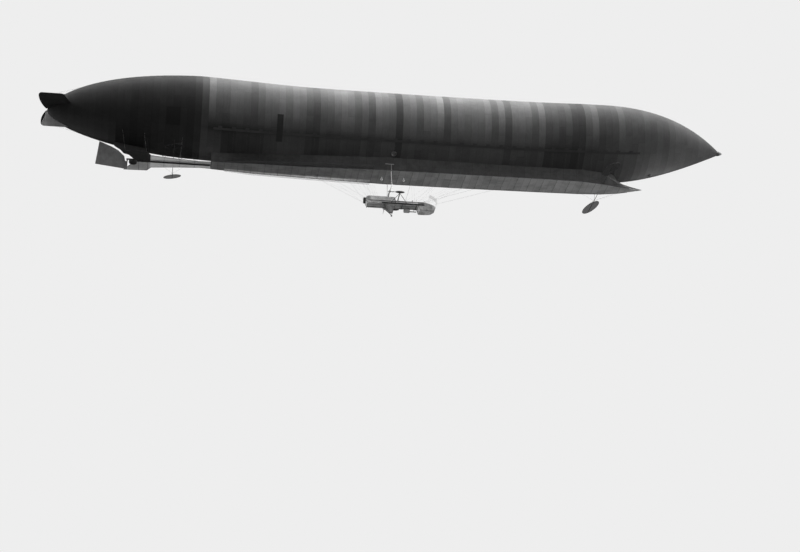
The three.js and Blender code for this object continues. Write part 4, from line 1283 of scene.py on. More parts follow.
def car_rails():
    """Tubes along the rim and the chine, bars across under the floor and two keelsons."""
    x = np.linspace(CAR_AFT, 6.64, 120)
    tubes = []
    for s in SIGNS:
        rim = np.stack([x, s * (table(CAR_PLAN, x) - 0.03), table(CAR_RIM, x) + 0.005], 1)
        chine = np.stack([x, s * (table(CAR_PLAN, x) - 0.02), table(CAR_BOTTOM, x) + 0.04], 1)
        tubes += [tube(rim, 0.032, 10), tube(chine, 0.032, 10)]
        tubes.append(bars([-3.7, s * 0.42, CROSS_BAR_Z], [3.9, s * 0.42, CROSS_BAR_Z], 0.03, 8))
    tips = line_of(CROSS_BAR_X, 0.8, CROSS_BAR_Z)
    return joined(tubes + [bars(tips * [1, -1, 1], tips, 0.04, 10)])


def slats(first, last, half, bottom, top):
    """Floor slats across the car, one every pitch from the first x to the last."""
    return [rounded_box((x, -half, bottom), (x + SLAT, half, top), 0.006)
            for x in np.arange(first, last, SLAT_PITCH)]


def make_car():
    cover = car_shape()
    put("Car cover", cover, cloth("Car cloth", 1.0, dirt=0.35, by_face=True), "keel_cloth",
        "car_hull", angle=35, face_values={"tone": cover_tones(cover)})
    put("Car rails", car_rails(), *painted_tube())
    band = side_boxes((-1.5, 0.845, -12.73), (4.9, 0.869, -12.5), 0.008)
    put("Car floor band", joined(band), cloth("Floor band cloth", 0.035, dirt=0.15), "keel_cloth")
    low_wall = side_boxes((0.62, 0.85, -12.49), (3.9, 0.87, -12.2), 0.008)
    stern_wall = side_boxes((-3.2, 0.852, -12.3), (0.4, 0.868, -11.66), 0.006)
    put("Car side cloths", joined(low_wall + stern_wall), *pale_cloth())
    heads = np.vstack([line_of(CAR_RIBS[:BAND_RIBS], s * 0.866, z)
                       for z in (-12.69, -12.53) for s in SIGNS])
    put("Car rivets", bars(heads - [0, 0.006, 0], heads + [0, 0.006, 0], 0.012, 6), *bright_metal())
    boards = slats(-1.0, 0.5, 0.72, FLOOR, FLOOR + 0.018) + slats(4.3, 5.8, 0.6, PIT_FLOOR, -13.38)
    put("Car floor slats", joined(boards), wood("Floor wood", 0.25), "varnished_wood")


def upright_cylinder(x, y, low, high, radius):
    """A finned cylinder with a domed head, standing at (x, y)."""
    height = high - low
    wall = [[0, 0], [radius * 0.8, 0]]
    for k in range(6):
        z = height * (0.08 + 0.11 * k)
        wall += [[radius * 0.86, z], [radius, z + height * 0.015], [radius, z + height * 0.05],
                 [radius * 0.86, z + height * 0.065]]
    wall += [[radius * 0.86, height * 0.82], [radius * 0.7, height * 0.92], [radius * 0.3, height],
             [0, height]]
    return lathe(wall, (x, y, low), UP, 24)


CRANKCASE_TOP, HEAD_Z = -12.25, -11.9
CYLINDER_RADIUS, CYLINDER_TOP = 0.115, -11.86
ENGINE_END = 0.12
CARBURETTOR, MAGNETO, FLYWHEEL, FRONT_CASE = 0.35, 0.5, 0.045, (0.86, 0.98)
FLYWHEEL_PROFILE = (
    (0, -0.05), (0.1, -0.05), (0.11, -0.02), (0.25, -0.02), (0.262, -0.04), (0.27, 0), (0.262, 0.04),
    (0.25, 0.02), (0.06, 0.03), (0.05, 0.07), (0, 0.07),
)
CARBURETTOR_PROFILE = ((0, 0), (0.05, 0), (0.052, 0.02), (0.045, 0.1), (0, 0.11))


def engine_castings(aft, fore, at):
    """Crankcase, sump, front case, bearers, feet, flywheel, magneto and carburettor."""
    low, high = aft + ENGINE_END, fore - ENGINE_END
    case_low, case_high = sorted(at(share) for share in FRONT_CASE)
    castings = [rounded_box((low, -0.2, -12.46), (high, 0.2, -12.24), 0.05),
                rounded_box((low + 0.05, -0.15, -12.62), (high - 0.05, 0.15, -12.44), 0.06),
                rounded_box((case_low, -0.17, -12.5), (case_high, 0.17, -12.12), 0.04),
                rounded_box((at(MAGNETO) - 0.09, 0.2, -12.36), (at(MAGNETO) + 0.09, 0.29, -12.2), 0.02),
                lathe(FLYWHEEL_PROFILE, (at(FLYWHEEL), 0, SHAFT_Z), sides=40)]
    castings += side_boxes((aft + 0.01, 0.215, -12.662), (fore - 0.01, 0.285, -12.57), 0.012)
    for x in (low + 0.1, high - 0.1):
        castings += side_boxes((x - 0.06, 0.13, -12.58), (x + 0.06, 0.27, -12.4), 0.02)
    for z in (-12.22, -12.13):
        castings.append(lathe(CARBURETTOR_PROFILE, (at(CARBURETTOR), -0.25, z), UP, 20))
    return castings


def engine_pipes(cylinders, spread, at):
    """Exhaust and intake pipes to each cylinder, the exhaust manifold and the ignition leads."""
    pipes = [tube(line_of(spread, 0.235, -12.06), 0.042, 12)]
    for x in cylinders:
        exhaust = curve([[x, 0.1, -11.98], [x, 0.2, -11.98], [x, 0.235, -12.05]], 8)
        intake = curve([[x, -0.1, -12.0], [x, -0.2, -12.0], [at(CARBURETTOR), -0.24, -12.09]], 10)
        lead = curve([[x + 0.06, 0.07, -11.8], [x + 0.1, 0.27, -11.85], [at(MAGNETO), 0.25, -12.2]], 12)
        pipes += [tube(exhaust, 0.03, 8), tube(intake, 0.022, 8), tube(lead, 0.006, 5)]
    return pipes


def cylinder_parts(cylinders, spread):
    """Finned cylinders with their collars, push rods, rockers, plugs and the rail over them."""
    parts = [tube(line_of(spread, -0.03, -11.805), 0.022, 10),
             bars(line_of(cylinders, -0.16, HEAD_Z), line_of(cylinders, 0.16, HEAD_Z), 0.014, 8),
             bars(line_of(cylinders, 0, -11.87), line_of(cylinders, 0, -11.81), 0.016, 8),
             bars(line_of(cylinders + 0.03, 0.03, -11.88), line_of(cylinders + 0.06, 0.07, -11.8), 0.01, 6)]
    for s in SIGNS:
        feet, heads = line_of(cylinders, s * 0.155, CRANKCASE_TOP), line_of(cylinders, s * 0.15, HEAD_Z)
        parts.append(bars(feet, heads, 0.011, 8))
    for x in cylinders:
        parts.append(upright_cylinder(x, 0.0, CRANKCASE_TOP, CYLINDER_TOP, CYLINDER_RADIUS))
        parts.append(torus((x, 0, -12.235), UP, 0.1, 0.012, 24, 6))
    return parts


def engine(aft, fore, facing):
    """A four-cylinder engine in the block's place: its castings with the pipes, and its bright parts."""
    tail, nose = (aft, fore) if facing > 0 else (fore, aft)
    low, high = aft + ENGINE_END, fore - ENGINE_END
    spread = np.linspace(low, high, 30)
    cylinders = low + (high - low - (fore - aft) * 0.06) * (np.arange(4) + 0.5) / 4

    def at(share):
        return tail + (nose - tail) * share

    castings = engine_castings(aft, fore, at) + engine_pipes(cylinders, spread, at)
    return joined(castings), joined(cylinder_parts(cylinders, spread))


GEARBOX_X, GEARBOX_Z = 0.93, -12.0
COUPLING_X = (-1.86, 0.5, 1.36, 1.62)
COUPLING_PROFILE = mirrored(((0, -0.06), (0.08, -0.06), (0.09, -0.02), (0.12, -0.02)))
GEARBOX_CAP = ((0, 0), (0.2, 0), (0.2, 0.03), (0.12, 0.05), (0.1, 0.09), (0, 0.09))
SIDE_BEARING = ((0, -0.1), (0.17, -0.1), (0.17, 0.0), (0.1, 0.03), (0, 0.03))


def gearbox():
    """A cast box split along a bolted flange, with a foot, a cap and a bearing for each cross shaft."""
    box = [rounded_box((0.62, -0.28, -12.6), (1.24, 0.28, -11.84), 0.07, 5),
           rounded_box((0.61, -0.3, -12.27), (1.25, 0.3, -12.21), 0.02),
           rounded_box((0.66, -0.3, BED), (1.2, 0.3, -12.58), 0.02),
           lathe(GEARBOX_CAP, (GEARBOX_X, 0, -11.85), UP, 32)]
    box += [lathe(SIDE_BEARING, (GEARBOX_X, s * 0.27, GEARBOX_Z), (0, s, 0), 28) for s in SIGNS]
    bolts = np.concatenate([line_of(np.linspace(0.66, 1.2, 7), s * 0.285, -12.24) for s in SIGNS])
    return joined(box + [bars(bolts - [0, 0, 0.045], bolts + [0, 0, 0.045], 0.016, 6)])


def make_engines():
    for node, aft, fore, facing in (("engine_aft", -3.3, -1.95, -1), ("engine_fore", 1.7, 3.0, 1)):
        castings, bright = engine(aft, fore, facing)
        name = node.replace("_", " ").capitalize()
        put(name, castings, *dark_metal(), node)
        put(f"{name} cylinders", bright, metal("Cylinder metal", 0.32, roughness=0.38), "bright_metal")
    put("Gearbox", gearbox(), *dark_metal(), "gearbox")
    shafts = bars(line_of((-1.95, 1.25), 0, SHAFT_Z), line_of((0.61, 1.7), 0, SHAFT_Z), 0.035, 16)
    couplings = [lathe(COUPLING_PROFILE, (x, 0, SHAFT_Z), sides=24) for x in COUPLING_X]
    put("Engine shafts", joined([shafts] + couplings), *ground_steel())


FILLER_CAP = ((0, 0), (0.05, 0), (0.05, 0.03), (0.035, 0.04), (0, 0.04))
RADIATORS = {
    "fore": ((3.1, -0.42, -12.664), (3.24, 0.42, -11.72)),
    "aft": ((-4.19, -0.36, -12.38), (-3.86, 0.36, -11.66)),
}
HEADER = 0.1


def radiator(low, high):
    """A frame with top and bottom tanks and a filler cap, and its core of tubes and plates, within a box."""
    (aft, _, bottom), (fore, half, top) = low, high
    middle = (aft + fore) / 2
    shell = [rounded_box((aft, -half, top - HEADER), (fore, half, top - 0.02), 0.03),
             rounded_box(low, (fore, half, bottom + HEADER), 0.03),
             lathe(FILLER_CAP, (middle, 0, top - 0.04), UP, 20)]
    shell += side_boxes((aft + 0.01, half - 0.04, bottom + 0.05), (fore - 0.01, half, top - 0.05), 0.012)
    rows = np.linspace(0.07 - half, half - 0.07, 26)
    feet = np.array([[x, y, bottom + 0.06] for x in (aft + 0.035, middle, fore - 0.035) for y in rows])
    tubes = bars(feet, feet + [0, 0, top - bottom - 0.14], 0.009, 6)
    plates = [rounded_box((aft + 0.015, 0.03 - half, z), (fore - 0.015, half - 0.03, z + 0.006), 0.002, 2)
              for z in np.arange(bottom + 0.13, top - 0.13, 0.035)]
    return joined(shell), joined([tubes] + plates)


TANK_Z, TANK_RADIUS = -12.15, 0.28
TANK_PROFILE = mirrored(((0, 3.4), (0.12, 3.405), (0.22, 3.42), (0.265, 3.45), (0.28, 3.49)), 3.85)
TANK_CAP = ((0, 0), (0.05, 0), (0.05, 0.035), (0.06, 0.04), (0.06, 0.06), (0, 0.065))


def fuel_tank():
    """A drum with dished ends, a bead at each and a screw cap."""
    beads = [torus((x, 0, TANK_Z), AHEAD, TANK_RADIUS, 0.008, 48, 6) for x in (3.5, 4.2)]
    cap = lathe(TANK_CAP, (3.85, 0, -11.88), UP, 20)
    return joined([lathe(TANK_PROFILE, (0, 0, TANK_Z), sides=48), cap] + beads)


def tank_straps():
    """Two straps round the tank on two cradles, and the pipe to the engine."""
    straps = [torus((x, 0, TANK_Z), AHEAD, TANK_RADIUS + 0.008, 0.014, 48, 6) for x in (3.63, 4.03)]
    cradles = [rounded_box((x, -0.2, BED), (x + 0.06, 0.2, -12.42), 0.01) for x in (3.6, 4.0)]
    route = curve([[3.45, 0.1, -12.38], [3.3, 0.2, -12.6], [3.0, 0.28, -12.5], [2.8, 0.27, -12.3]])
    return joined(straps + cradles + [tube(route, 0.014, 8)])


FAN_X = -1.45
FAN_PROFILE = mirrored(((0, -0.2), (0.1, -0.2), (0.12, -0.16), (0.23, -0.14), (0.245, -0.1)))


def air_fan():
    """A fan in a flat round casing on a foot, with its throat, its collar and a belt beside it."""
    belt_low, belt_high, belt_y = -12.5, -12.2, 0.235
    belt = tube_through([[-1.6, belt_y, belt_low], [-1.3, belt_y, belt_low], [-1.3, belt_y, belt_high],
                         [-1.6, belt_y, belt_high]], 0.012)
    return joined([lathe(FAN_PROFILE, (FAN_X, 0, -12.38), ABEAM, 40),
                   rounded_box((-1.72, -0.2, BED), (-1.18, 0.2, -12.6), 0.02),
                   bars([FAN_X, 0, -12.3], [FAN_X, 0, -12.1], 0.15, 24), belt,
                   torus((FAN_X, 0, -12.11), UP, 0.15, 0.016, 32, 8)])


SILENCER_Y, SILENCER_Z = 0.35, -13.2
SILENCER_PROFILE = (
    (0, 1.9), (0.1, 1.9), (0.2, 1.93), (0.27, 1.97), (0.28, 2.0), (0.28, 2.77), (0.27, 2.8), (0.18, 2.84),
    (0, 2.85),
)
DOWN_PIPE_X, DOWN_PIPE_Z = 2.2, (-12.76, -12.85, -12.97, -13.1)
TAIL_PIPE_Z = -13.28
TAIL_PIPE = ((2.8, 0.1), (3.0, 0.085), (3.3, 0.08), (3.6, 0.08), (3.82, 0.1))
HANGER_X = 3.4


def exhaust_silencer():
    """A drum under the floor with its flanged pipe from above, its tail pipe, a hanger and clips."""
    tail_x, tail_radius = np.transpose(TAIL_PIPE)
    down = [[DOWN_PIPE_X, SILENCER_Y, z] for z in DOWN_PIPE_Z]
    seats = round_places((DOWN_PIPE_X, SILENCER_Y, -12.81), 0.115, 6)
    parts = [lathe(SILENCER_PROFILE, (0, SILENCER_Y, SILENCER_Z), sides=40), tube(down, 0.1, 20),
             tube(line_of(tail_x, SILENCER_Y, TAIL_PIPE_Z), tail_radius, 20),
             bars([DOWN_PIPE_X, SILENCER_Y, -12.8], [DOWN_PIPE_X, SILENCER_Y, -12.756], 0.14, 24),
             bars([DOWN_PIPE_X, SILENCER_Y, -12.86], [DOWN_PIPE_X, SILENCER_Y, -12.82], 0.13, 24),
             bars([HANGER_X, SILENCER_Y, TAIL_PIPE_Z], [HANGER_X, SILENCER_Y, -12.76], 0.03, 8),
             torus((HANGER_X, SILENCER_Y, TAIL_PIPE_Z), AHEAD, 0.085, 0.016, 24, 6),
             bars(seats - [0, 0, 0.07], seats + [0, 0, 0.04], 0.012, 6)]
    clips = [torus((x, SILENCER_Y, SILENCER_Z), AHEAD, 0.282, 0.014, 36, 6) for x in (2.08, 2.4, 2.7)]
    return joined(parts + clips)


SCREEN_CURVE = ((6.53, 0, -12.62), (7.12, 0, -12.0), (6.98, 0, -11.02), (5.77, 0, -10.74))
SCREEN_HALF, SCREEN_SLACK, SCREEN_THICK = 0.44, 0.045, 0.012
SCREEN_INSIDE = (5.2, 0, -12.0)
SCREEN_STEPS, SCREEN_LENGTH = 50, 2.6
SCREEN_TIES = [1, 16, 33, 48]


def bow_screen(arc):
    """A sheet drawn over three hoops: it sinks by slack |sin|^0.8 between them, and has a thickness."""
    y = np.linspace(-SCREEN_HALF, SCREEN_HALF, 23)
    slack = SCREEN_SLACK * np.abs(np.sin(np.pi * (y + SCREEN_HALF) / SCREEN_HALF)) ** 0.8
    inward = unit(np.array(SCREEN_INSIDE) - arc)
    outer = arc[:, None] + inward[:, None] * slack[None, :, None] + np.array([0, 1.0, 0]) * y[None, :, None]
    inner = outer + inward[:, None] * SCREEN_THICK
    loop = np.concatenate([outer, inner[:, ::-1]], 1)
    ends = [np.concatenate([outer[i], outer[i, ::-1]])[None] for i in (0, -1)]
    along = doubled_ends(np.linspace(0, SCREEN_LENGTH, SCREEN_STEPS))
    around = np.concatenate([y, y[::-1] + 2, [-SCREEN_HALF]])
    return surface(np.concatenate([ends[0], loop, ends[1]]), u=along, v=around)


def screen_hoops(arc):
    """Three hoops along the screen, four ties across them and a prop on each side."""
    hoops = [tube(arc + [0, y, 0], 0.013, 8) for y in (-SCREEN_HALF, 0, SCREEN_HALF)]
    ties = bars(arc[SCREEN_TIES] - [0, SCREEN_HALF, 0], arc[SCREEN_TIES] + [0, SCREEN_HALF, 0], 0.013, 8)
    props = [bars([5.78, s * SCREEN_HALF, -10.75], [5.55, s * 0.6, -12.36], 0.014, 8) for s in SIGNS]
    return joined(hoops + [ties] + props)


def make_car_fittings():
    radiator_metals = {"fore": bright_metal(), "aft": dark_metal()}
    for end, (low, high) in RADIATORS.items():
        shell, core = radiator(low, high)
        shell_metal, slot = radiator_metals[end]
        put(f"Radiator {end}", shell, shell_metal, slot, f"radiator_{end}")
        put(f"Radiator {end} core", core, metal("Radiator brass", 0.25, roughness=0.45), slot)
    put("Fuel tank", fuel_tank(), *bright_metal(), "fuel_tank")
    put("Tank straps", tank_straps(), *dark_metal())
    put("Air fan", air_fan(), metal("Fan casing", 0.3, metallic=0.0), "pale_cloth", "air_fan")
    put("Exhaust silencer", exhaust_silencer(), metal("Heated sheet", 0.4, roughness=0.7, metallic=0.0),
        "dark_metal", "exhaust_silencer")
    arc = curve(SCREEN_CURVE, SCREEN_STEPS)
    put("Bow screen", bow_screen(arc), cloth("Screen cloth", 0.5, dirt=0.1, alpha=0.12),
        "pale_cloth", "bow_screen")
    put("Screen hoops", screen_hoops(arc), *pale_enamel())


WHEEL_BOSS = mirrored(((0, -0.045), (0.04, -0.045), (0.05, -0.02)))
DIAL_PROFILE = ((0, 0), (0.045, 0), (0.05, 0.012), (0.045, 0.018), (0.038, 0.012), (0, 0.012))
STAND_X = 5.67
RUDDER_AXLE_Z, ELEVATOR_AXLE_Z = -12.75, -12.8
PIT_TOP = -13.396


def wheel(radius, spokes=6):
    """A wooden rim with spokes and a boss about the z axis."""
    rim_points = round_places((0, 0, 0), radius, spokes)
    return joined([torus((0, 0, 0), UP, radius, 0.02, 48, 10), bars([[0, 0, 0]], rim_points, 0.012, 8),
                   lathe(WHEEL_BOSS, (0, 0, 0), UP, 20)])


def control_stand():
    """Two posts on a foot with a board on top, three dials and the axles of the two wheels."""
    stand = side_boxes((5.61, 0.165, PIT_TOP), (5.73, 0.235, -12.6), 0.015)
    stand += [rounded_box((5.6, -0.24, -12.86), (5.74, 0.24, -12.55), 0.03),
              rounded_box((5.6, -0.24, PIT_TOP), (5.74, 0.24, -13.34), 0.015),
              bars([5.6, 0, RUDDER_AXLE_Z], [5.55, 0, RUDDER_AXLE_Z], 0.022, 12),
              bars([STAND_X, 0.24, ELEVATOR_AXLE_Z], [STAND_X, 0.29, ELEVATOR_AXLE_Z], 0.022, 12)]
    stand += [lathe(DIAL_PROFILE, (STAND_X, y, -12.552), UP, 24) for y in (-0.15, 0.0, 0.15)]
    return joined(stand)


def make_controls():
    put("Control stand", control_stand(), *dark_metal(), "control_stand")
    varnish = wood("Wheel wood", 0.22)
    put("Rudder wheel", wheel(0.24).turned(90, ABEAM).moved((5.546, 0, RUDDER_AXLE_Z)), varnish,
        "varnished_wood", "rudder_wheel")
    put("Elevator wheel", wheel(0.2).turned(90, AHEAD).moved((STAND_X, 0.294, ELEVATOR_AXLE_Z)), varnish,
        "varnished_wood", "elevator_wheel")


# Suspension, drives and landing pyramid

# The stays from x on the car's rail to x on the keel's floor, and the pairs of stays that cross
STAYS = np.array([
    (-3.5, -11.5), (-3.3, -6.5), (-1.9, -3.4), (2.0, 3.2), (3.4, 7.2), (4.5, 12.0), (4.65, 17.5),
])
CROSSING = np.array([(0, 1), (1, 0), (1, 2), (2, 1), (3, 4), (4, 3), (4, 5), (5, 4), (5, 6)])
ATHWART = [0, 2, 3, 5]
RAIL_Y, RAIL_Z = 0.9, -12.3
KEEL_EYE_Y = 1.25


def stay_ends(sign):
    """Where the stays of one side leave the car's rail and meet the keel's floor."""
    low = line_of(STAYS[:, 0], sign * RAIL_Y, RAIL_Z)
    high = line_of(STAYS[:, 1], sign * KEEL_EYE_Y, 0.0)
    high[:, 2] = keel_under(STAYS[:, 1])
    return low, high


def car_rail(sign):
    """The tube along the car's side that the stays pull on, with a clamp at each stay and ties to the car."""
    rail = bars([-3.6, sign * RAIL_Y, RAIL_Z], [4.75, sign * RAIL_Y, RAIL_Z], 0.035, 16)
    clamps = [torus((x, sign * RAIL_Y, RAIL_Z), AHEAD, 0.036, 0.014, 20, 6) for x in STAYS[:, 0]]
    ties = [torus((x, sign * 0.88, RAIL_Z), ABEAM, 0.03, 0.012, 16, 6) for x in np.arange(-3.4, 4.8, 0.9)]
    return joined([rail] + clamps + ties)


def make_suspension(context):
    radius = context.scene.airship_sizes.stay_radius
    athwart = []
    for side, sign in SIDES:
        low, keel = stay_ends(sign)
        high = keel - [0, 0, 0.004]
        along = unit(high - low)
        eyes = [torus(point, ABEAM, 0.03, 0.01, 20, 6) for point in high]
        buckles = bars(low + along * 0.35, low + along * 0.55, 0.018, 8)
        screws = bars(low + along * 0.28, low + along * 0.62, 0.01, 6)
        cross = bars(low[CROSSING[:, 0]], high[CROSSING[:, 1]], 0.004, 5)
        put(f"Suspension {side}", car_rail(sign), *painted_tube(), f"suspension_{side}")
        stays = joined([bars(low, high, radius, 8)] + eyes)
        put(f"Stays {side}", stays, *steel_cable(), f"suspension_{side}")
        put(f"Turnbuckles {side}", joined([buckles, screws]), *steel_cable())
        put(f"Cross stays {side}", cross, *steel_cable())
        athwart.append(bars(low[ATHWART], keel[ATHWART] * [1, -1, 1], 0.004, 5))
    put("Cross stays athwart", joined(athwart), *steel_cable())


HUB = np.array([-0.63, 3.0, -11.77])
HOUSING_PROFILE = (
    (0, 0.25), (0.08, 0.25), (0.1, 0.3), (0.13, 0.42), (0.165, 0.56), (0.178, 0.7), (0.18, 0.86), (0.18, 0.9),
    (0.18, 0.96), (0.178, 1.1), (0.16, 1.25), (0.12, 1.42), (0.09, 1.53), (0.04, 1.6), (0, 1.61),
)
SHAFT_BEARING = mirrored(((0, -0.31), (0.07, -0.31), (0.09, -0.29)), -0.2)
HOUSING_BOLTS, HOUSING_BOLTS_RADIUS = 10, 0.165
OUTRIGGER_COLLARS = (0.33, 0.9, 1.8, 2.6, 2.82)
HUB_STAY_X, HUB_STAY_Y = -0.3, 2.1
STRAP_INNER_Y, STRAP_STANDS_OUT = 1.98, 0.035


def gear_housing(hub):
    """A pointed housing with a ring of nuts about its joint, and the bearing behind it."""
    cosine, sine = circle(HOUSING_BOLTS)
    ring = np.stack([np.full(HOUSING_BOLTS, GEARBOX_X), hub[1] + HOUSING_BOLTS_RADIUS * cosine,
                     hub[2] + HOUSING_BOLTS_RADIUS * sine], 1)
    middle = (0, hub[1], hub[2])
    return joined([lathe(HOUSING_PROFILE, middle, sides=40), lathe(SHAFT_BEARING, middle, sides=24),
                   bars(ring - [0.06, 0, 0], ring + [0.06, 0, 0], 0.018, 6)])


def drive_outrigger(hub, sign):
    """The cross tube from the gearbox to the housing with its collars, two struts and two wires."""
    inboard = np.array([GEARBOX_X, 0, GEARBOX_Z])
    outboard = np.array([GEARBOX_X, hub[1], hub[2]])

    def along(reach):
        return inboard + (outboard - inboard) * reach / HUB[1]

    cross_tube = bars(along(0.31), along(HUB[1] - 0.16), 0.07, 20)
    head = np.array([GEARBOX_X, sign * (HUB[1] - 0.32), hub[2] - 0.02])
    struts = bars(line_of((2.3, -0.15), sign * 0.7, -12.52), head, 0.035, 14)
    collars = [torus(along(reach), outboard - inboard, 0.075, 0.02, 28, 6) for reach in OUTRIGGER_COLLARS]
    moored = [[GEARBOX_X, sign * 0.88, -12.5], [2.3, sign * 0.88, RAIL_Z]]
    wires = bars([along(1.8), along(2.6)], moored, 0.008, 5)
    return joined([cross_tube, struts, wires] + collars)


def hub_stay(hub, sign):
    """A stay from a ring round the propeller's shaft up to the keel's floor."""
    low = np.array([-0.2, hub[1], hub[2]])
    high = np.array([HUB_STAY_X, sign * HUB_STAY_Y, float(keel_under(HUB_STAY_X)) - 0.02])
    ring = torus(low, AHEAD, 0.1, 0.022, 28, 8)
    return joined([bars(low + (high - low) * 0.024, high, 0.04, 14), ring])


def stay_strap(sign):
    """A strap up the keel's side with a plate across its top and one under the keel's edge."""
    floor, edge = float(keel_under(HUB_STAY_X)), float(keel_half_width(HUB_STAY_X))
    near, far = sorted((sign * (edge - 0.01), sign * (edge + STRAP_STANDS_OUT)))
    inner, outer = sorted((sign * STRAP_INNER_Y, sign * (edge + STRAP_STANDS_OUT)))
    return joined([rounded_box((-0.36, near, floor - 0.04), (-0.24, far, floor + 1.0), 0.01),
                   rounded_box((-0.42, inner, floor - 0.045), (-0.18, outer, floor - 0.01), 0.01),
                   rounded_box((-1.2, near, floor + 0.96), (0.1, far, floor + 1.08), 0.01)])


def make_drives():
    for side, sign in SIDES:
        hub = HUB * [1, sign, 1]
        put(f"Gear housing {side}", gear_housing(hub), *dark_metal(), f"gear_housing_{side}")
        shaft = bars([-0.456, hub[1], hub[2]], [0.4, hub[1], hub[2]], 0.05, 20)
        put(f"Propeller shaft {side}", shaft, *ground_steel())
        put(f"Drive outrigger {side}", drive_outrigger(hub, sign), *painted_tube(), f"drive_outrigger_{side}")
        put(f"Hub stay {side}", hub_stay(hub, sign), *pale_enamel(), f"hub_stay_{side}")
        put(f"Hub stay strap {side}", stay_strap(sign),
            metal("Strap steel", 0.22, roughness=0.6, metallic=0.0), "painted_tube")


# Half width of a propeller's blade by its distance from the shaft
BLADE_ROWS = (
    (0.04, 0.06), (0.2, 0.062), (0.4, 0.075), (0.65, 0.11), (0.9, 0.155), (1.15, 0.178), (1.4, 0.18),
    (1.6, 0.166), (1.76, 0.138), (1.88, 0.1), (1.96, 0.055), (2.0, 0.0),
)
BLADE_THICKNESS = ((0.04, 0.06), (0.5, 0.034), (1.8, 0.014), (2.0, 0.003))
BLADE_PITCH = 3.2
BLADE_SIDES = 36
PROPELLER_HUB = mirrored(((0, -0.17), (0.12, -0.17), (0.13, -0.15)))
PROPELLER_CONE = (
    (0, -0.31), (0.03, -0.305), (0.05, -0.29), (0.07, -0.25), (0.1, -0.19), (0.125, -0.175), (0.125, -0.165),
    (0, -0.165),
)


def blade_twist(stations, sign):
    """The angle at each station that keeps the pitch even: the arc tangent of pitch / (2 pi station)."""
    return sign * np.arctan2(BLADE_PITCH, 2 * np.pi * stations)


def blade_shape(sign):
    """One blade along y: a lens section at each station, turned by the blade's twist."""
    stations = np.concatenate([np.linspace(0.04, 1.82, 60), 2.0 - 0.18 * np.linspace(1, 0, 16)[1:] ** 2])
    cosine, sine = circle(BLADE_SIDES)
    chord = table(BLADE_ROWS, stations)[:, None] * cosine
    height = table(BLADE_THICKNESS, stations)[:, None] * sine * np.where(sine > 0, 1.0, 0.45)
    turn = blade_twist(np.maximum(stations, 0.4), sign)[:, None]
    grid = np.stack([chord * np.sin(turn) + height * np.cos(turn), stations[:, None] + 0 * chord,
                     chord * np.cos(turn) - height * np.sin(turn)], -1)
    start = np.repeat(grid[:1].mean(1, keepdims=True), BLADE_SIDES, 1)
    around = np.append(2 * np.pi * np.arange(BLADE_SIDES) / BLADE_SIDES, 6.3) * 0.1
    return surface(np.concatenate([start, grid]), u=np.append(stations[0], stations), v=around)


def propeller_fittings(sign):
    """The cone over the hub with its bolts, and a metal edge along each blade's tip."""
    cosine, sine = circle(6)
    seats = np.stack([np.full(6, -0.17), 0.085 * cosine, 0.085 * sine], 1)
    edge = np.linspace(1.25, 1.95, 24)
    half, twist = table(BLADE_ROWS, edge), blade_twist(edge, sign)
    tip = tube(np.stack([half * np.sin(twist), edge, half * np.cos(twist)], 1), 0.011, 6)
    bolts = bars(seats - [0.03, 0, 0], seats + [0.01, 0, 0], 0.014, 6)
    return joined([lathe(PROPELLER_CONE, sides=28), bolts, tip, tip.turned(180, AHEAD)])


def make_propellers():
    for side, sign in SIDES:
        blade = blade_shape(sign)
        propeller = joined([blade, blade.turned(180, AHEAD), lathe(PROPELLER_HUB, sides=32)])
        hub, body = HUB * [1, sign, 1], f"{side}_propeller"
        put(f"Propeller {side}", propeller.moved(hub), wood("Laminated wood", 0.28), "varnished_wood",
            f"propeller_{side}", body=body)
        put(f"Propeller fittings {side}", propeller_fittings(sign).moved(hub), *bright_metal(), body=body)


PYRAMID_TOP = -12.754
PYRAMID_APEX = np.array([0.05, 0, -14.25])
PYRAMID_PLAN = ((-1.15, 0.6), (0.5, 0.6), (0.5, -0.6), (-1.15, -0.6))
PYRAMID_CORNERS = np.array([[x, y, PYRAMID_TOP] for x, y in PYRAMID_PLAN])
PYRAMID_RING, PYRAMID_CLOTH = 0.42, (0.03, 0.72)
PYRAMID_FOOT = (
    (0, -14.2), (0.05, -14.2), (0.06, -14.23), (0.1, -14.25), (0.125, -14.29), (0.13, -14.34),
    (0.12, -14.375), (0.1, -14.38), (0, -14.38),
)


def landing_pyramid():
    """Four tapered legs from sockets to a foot, a ring of bars about them and crossing wires."""
    corners, sockets = PYRAMID_CORNERS, PYRAMID_CORNERS - [0, 0, 0.05]
    ring = corners + (PYRAMID_APEX - corners) * PYRAMID_RING
    next_ring = np.roll(ring, -1, 0)
    parts = [bars(corners - [0, 0, 0.02], PYRAMID_APEX, 0.035, 14, 0.03), bars(sockets, corners, 0.07, 16),
             bars(ring, next_ring, 0.025, 12), bars(ring[:2], ring[2:], 0.008, 5),
             bars(sockets, next_ring, 0.007, 5), bars(np.roll(sockets, -1, 0), ring, 0.007, 5),
             lathe(PYRAMID_FOOT, (PYRAMID_APEX[0], 0, 0), UP, 32)]
    sleeves = [torus(point, PYRAMID_APEX - corner, 0.036, 0.014, 20, 6)
               for point, corner in zip(ring, corners)]
    return joined(parts + sleeves)


def make_landing_pyramid():
    put("Landing pyramid", landing_pyramid(), *painted_tube(), "landing_pyramid")
    share = np.linspace(*PYRAMID_CLOTH, 12)[:, None, None]
    outer = PYRAMID_CORNERS + (PYRAMID_APEX - PYRAMID_CORNERS) * share
    inner = outer + ([-0.2, 0, 0] - outer) * [0.04, 0.04, 0]
    skirt = surface(np.concatenate([outer, inner[::-1], outer[:1]]))
    canvas = cloth("Pyramid canvas", 0.4, dirt=0.4, through=0.1)
    put("Pyramid cloth", skirt, canvas, "keel_cloth")


PULLEY_X = (-1.45, 1.9)
GUY_Z = -7.78


